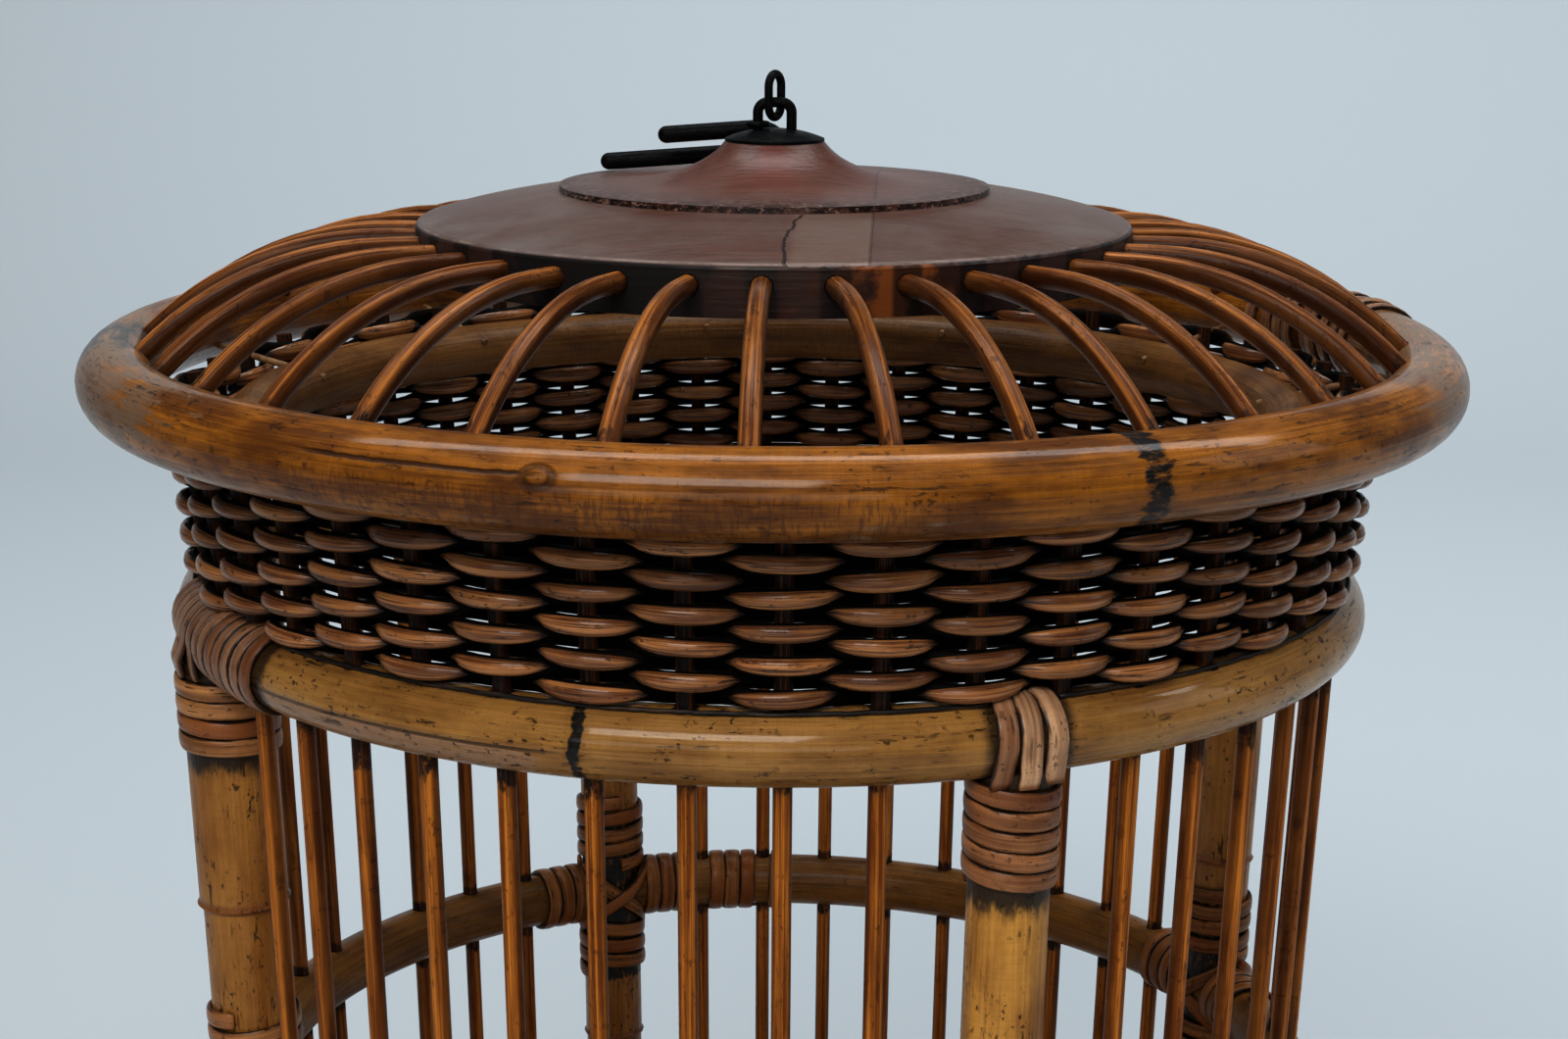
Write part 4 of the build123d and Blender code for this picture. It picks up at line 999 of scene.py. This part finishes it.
def dome_skin(tree):
    place, (x, y, z), colour, grey, relief, joint, _ = turned_wood(tree, dome_pale, dome_deep, bloom=0.34)
    colour = mixed(joint * 0.85, colour, scar_black)
    edge = band(z, dome_edge, half=0.0010, soft=0.0018)
    colour = mixed(steps(grain(place, (300, 300, 500), 4, 0.75), 0.36, 0.54) * edge, colour, chip_black)
    colour = mixed(steps(grain(place, (420, 420, 900), 3, 0.7), 0.56, 0.62) * edge, colour, chip_pale)
    # Painted highlight: a dark red vertical patch down the front of the dome.
    painted_highlight = band(angle_of(y, x), math.radians(-91), half=0.10, soft=0.30)
    painted_highlight = painted_highlight * steps(reach_of(x, y), 0.046, 0.026)
    return mixed(painted_highlight * 0.60, colour, dome_highlight_red), grey * 0.35 + 0.36, relief - joint * 2.0


dress(finish_from("cap wood", cap_skin, 0.0003, coat=0.10, coat_roughness=0.4, specular=0.35), "roof_cap")
dress(finish_from("dome wood", dome_skin, 0.0003, coat=0.12, coat_roughness=0.4, specular=0.35),
      "roof_dome")


# Iron fittings: plate, staple, link and hook, forged by hand and blackened, with a slight grey
# bloom where they are dry.
iron_black, iron_bloom = (0.004, 0.0042, 0.0047), (0.014, 0.014, 0.014)


def iron_skin(tree):
    place = place_on(tree)
    bloom = steps(grain(place, (120, 120, 120), 5, 0.65), 0.5, 0.75)
    return mixed(bloom, iron_black, iron_bloom), bloom * 0.25 + 0.40, grain(place, (260, 260, 260))


dress(finish_from("black iron", iron_skin, 0.0006, specular=0.08),
      "iron_plate", "staple", "chain_link", "hanging_hook")


# Floor board and perches: plain planed boards and peeled sticks inside the cage, with their pegs.
# They are unlacquered and dry.
def plain_wood(pale, deep, scale):
    def skin_of(tree):
        place = place_on(tree)
        fibre = steps(grain(place, scale, 5, 0.62), 0.36, 0.66)
        cloud = steps(grain(place, (12, 12, 12)), 0.4, 0.7)
        colour = mixed(cloud * 0.4, mixed(fibre, pale, deep), deep)
        return colour, fibre * 0.12 + 0.48, fibre * -0.6

    return skin_of


along_floor, along_perch, up_peg = (12, 260, 260), (14, 480, 480), (300, 300, 40)
dress(finish_from("floor wood", plain_wood((0.34, 0.19, 0.085), (0.17, 0.085, 0.035), along_floor), 0.0003),
      "floor_board")
dress(finish_from("perch wood", plain_wood((0.44, 0.26, 0.12), (0.22, 0.11, 0.045), along_perch), 0.0003),
      "perch_low", "perch_high")
dress(finish_from("peg bamboo", plain_wood((0.36, 0.19, 0.07), (0.16, 0.07, 0.02), up_peg), 0.0002),
      "hoop_pegs", "floor_pegs")


# Lifting door in the lower front wall: two bent rails, upright sticks let into them, the lintel
# above the doorway, and brass wire staples that slide on the bars beside it.
rail_bend, rail_height = 0.185, 0.1
rail_tan, rail_brown, rail_bare = (0.44, 0.20, 0.055), (0.17, 0.06, 0.015), (0.40, 0.24, 0.12)
door_tan, door_brown, door_bare = (0.50, 0.20, 0.045), (0.19, 0.06, 0.013), (0.46, 0.25, 0.10)
wire_brass, wire_spots = (0.40, 0.27, 0.11), (0.10, 0.06, 0.03)


def rail_skin(tree):
    lines = use(tree, hoop_lines, Bend=rail_bend, Height=rail_height, Start=arc_seam)["Lines"]
    return bark(lines, rail_tan, rail_brown, rail_bare, Fibre=0.6, Blotch=0.5, Rings=0.12, Pits=0.6,
                Worn=0.08, Soot=0.02, Gloss=0.30)


def door_stick_skin(tree):
    x, y, z = axes(place_on(tree))
    return bark(joined(z, x, y), door_tan, door_brown, door_bare, Fibre=0.85, Blotch=0.35, Rings=0.0,
                Pits=0.5, Worn=0.06, Soot=0.03, Gloss=0.30)


def wire_skin(tree):
    spots = steps(grain(place_on(tree), (500, 500, 500), 4, 0.65), 0.45, 0.7)
    return mixed(spots, wire_brass, wire_spots), spots + 0.32, spots


dress(finish_from("door rail bamboo", rail_skin, 0.0004, coat=0.25, coat_roughness=0.25),
      "door_lintel", "door_bottom_rail", "door_top_rail")
dress(finish_from("door stick bamboo", door_stick_skin, 0.0004, coat=0.25, coat_roughness=0.25),
      "door_sticks")
dress(finish_from("door wire", wire_skin, 0.0001, metal=1.0), "door_staples")

bpy.context.view_layer.update()
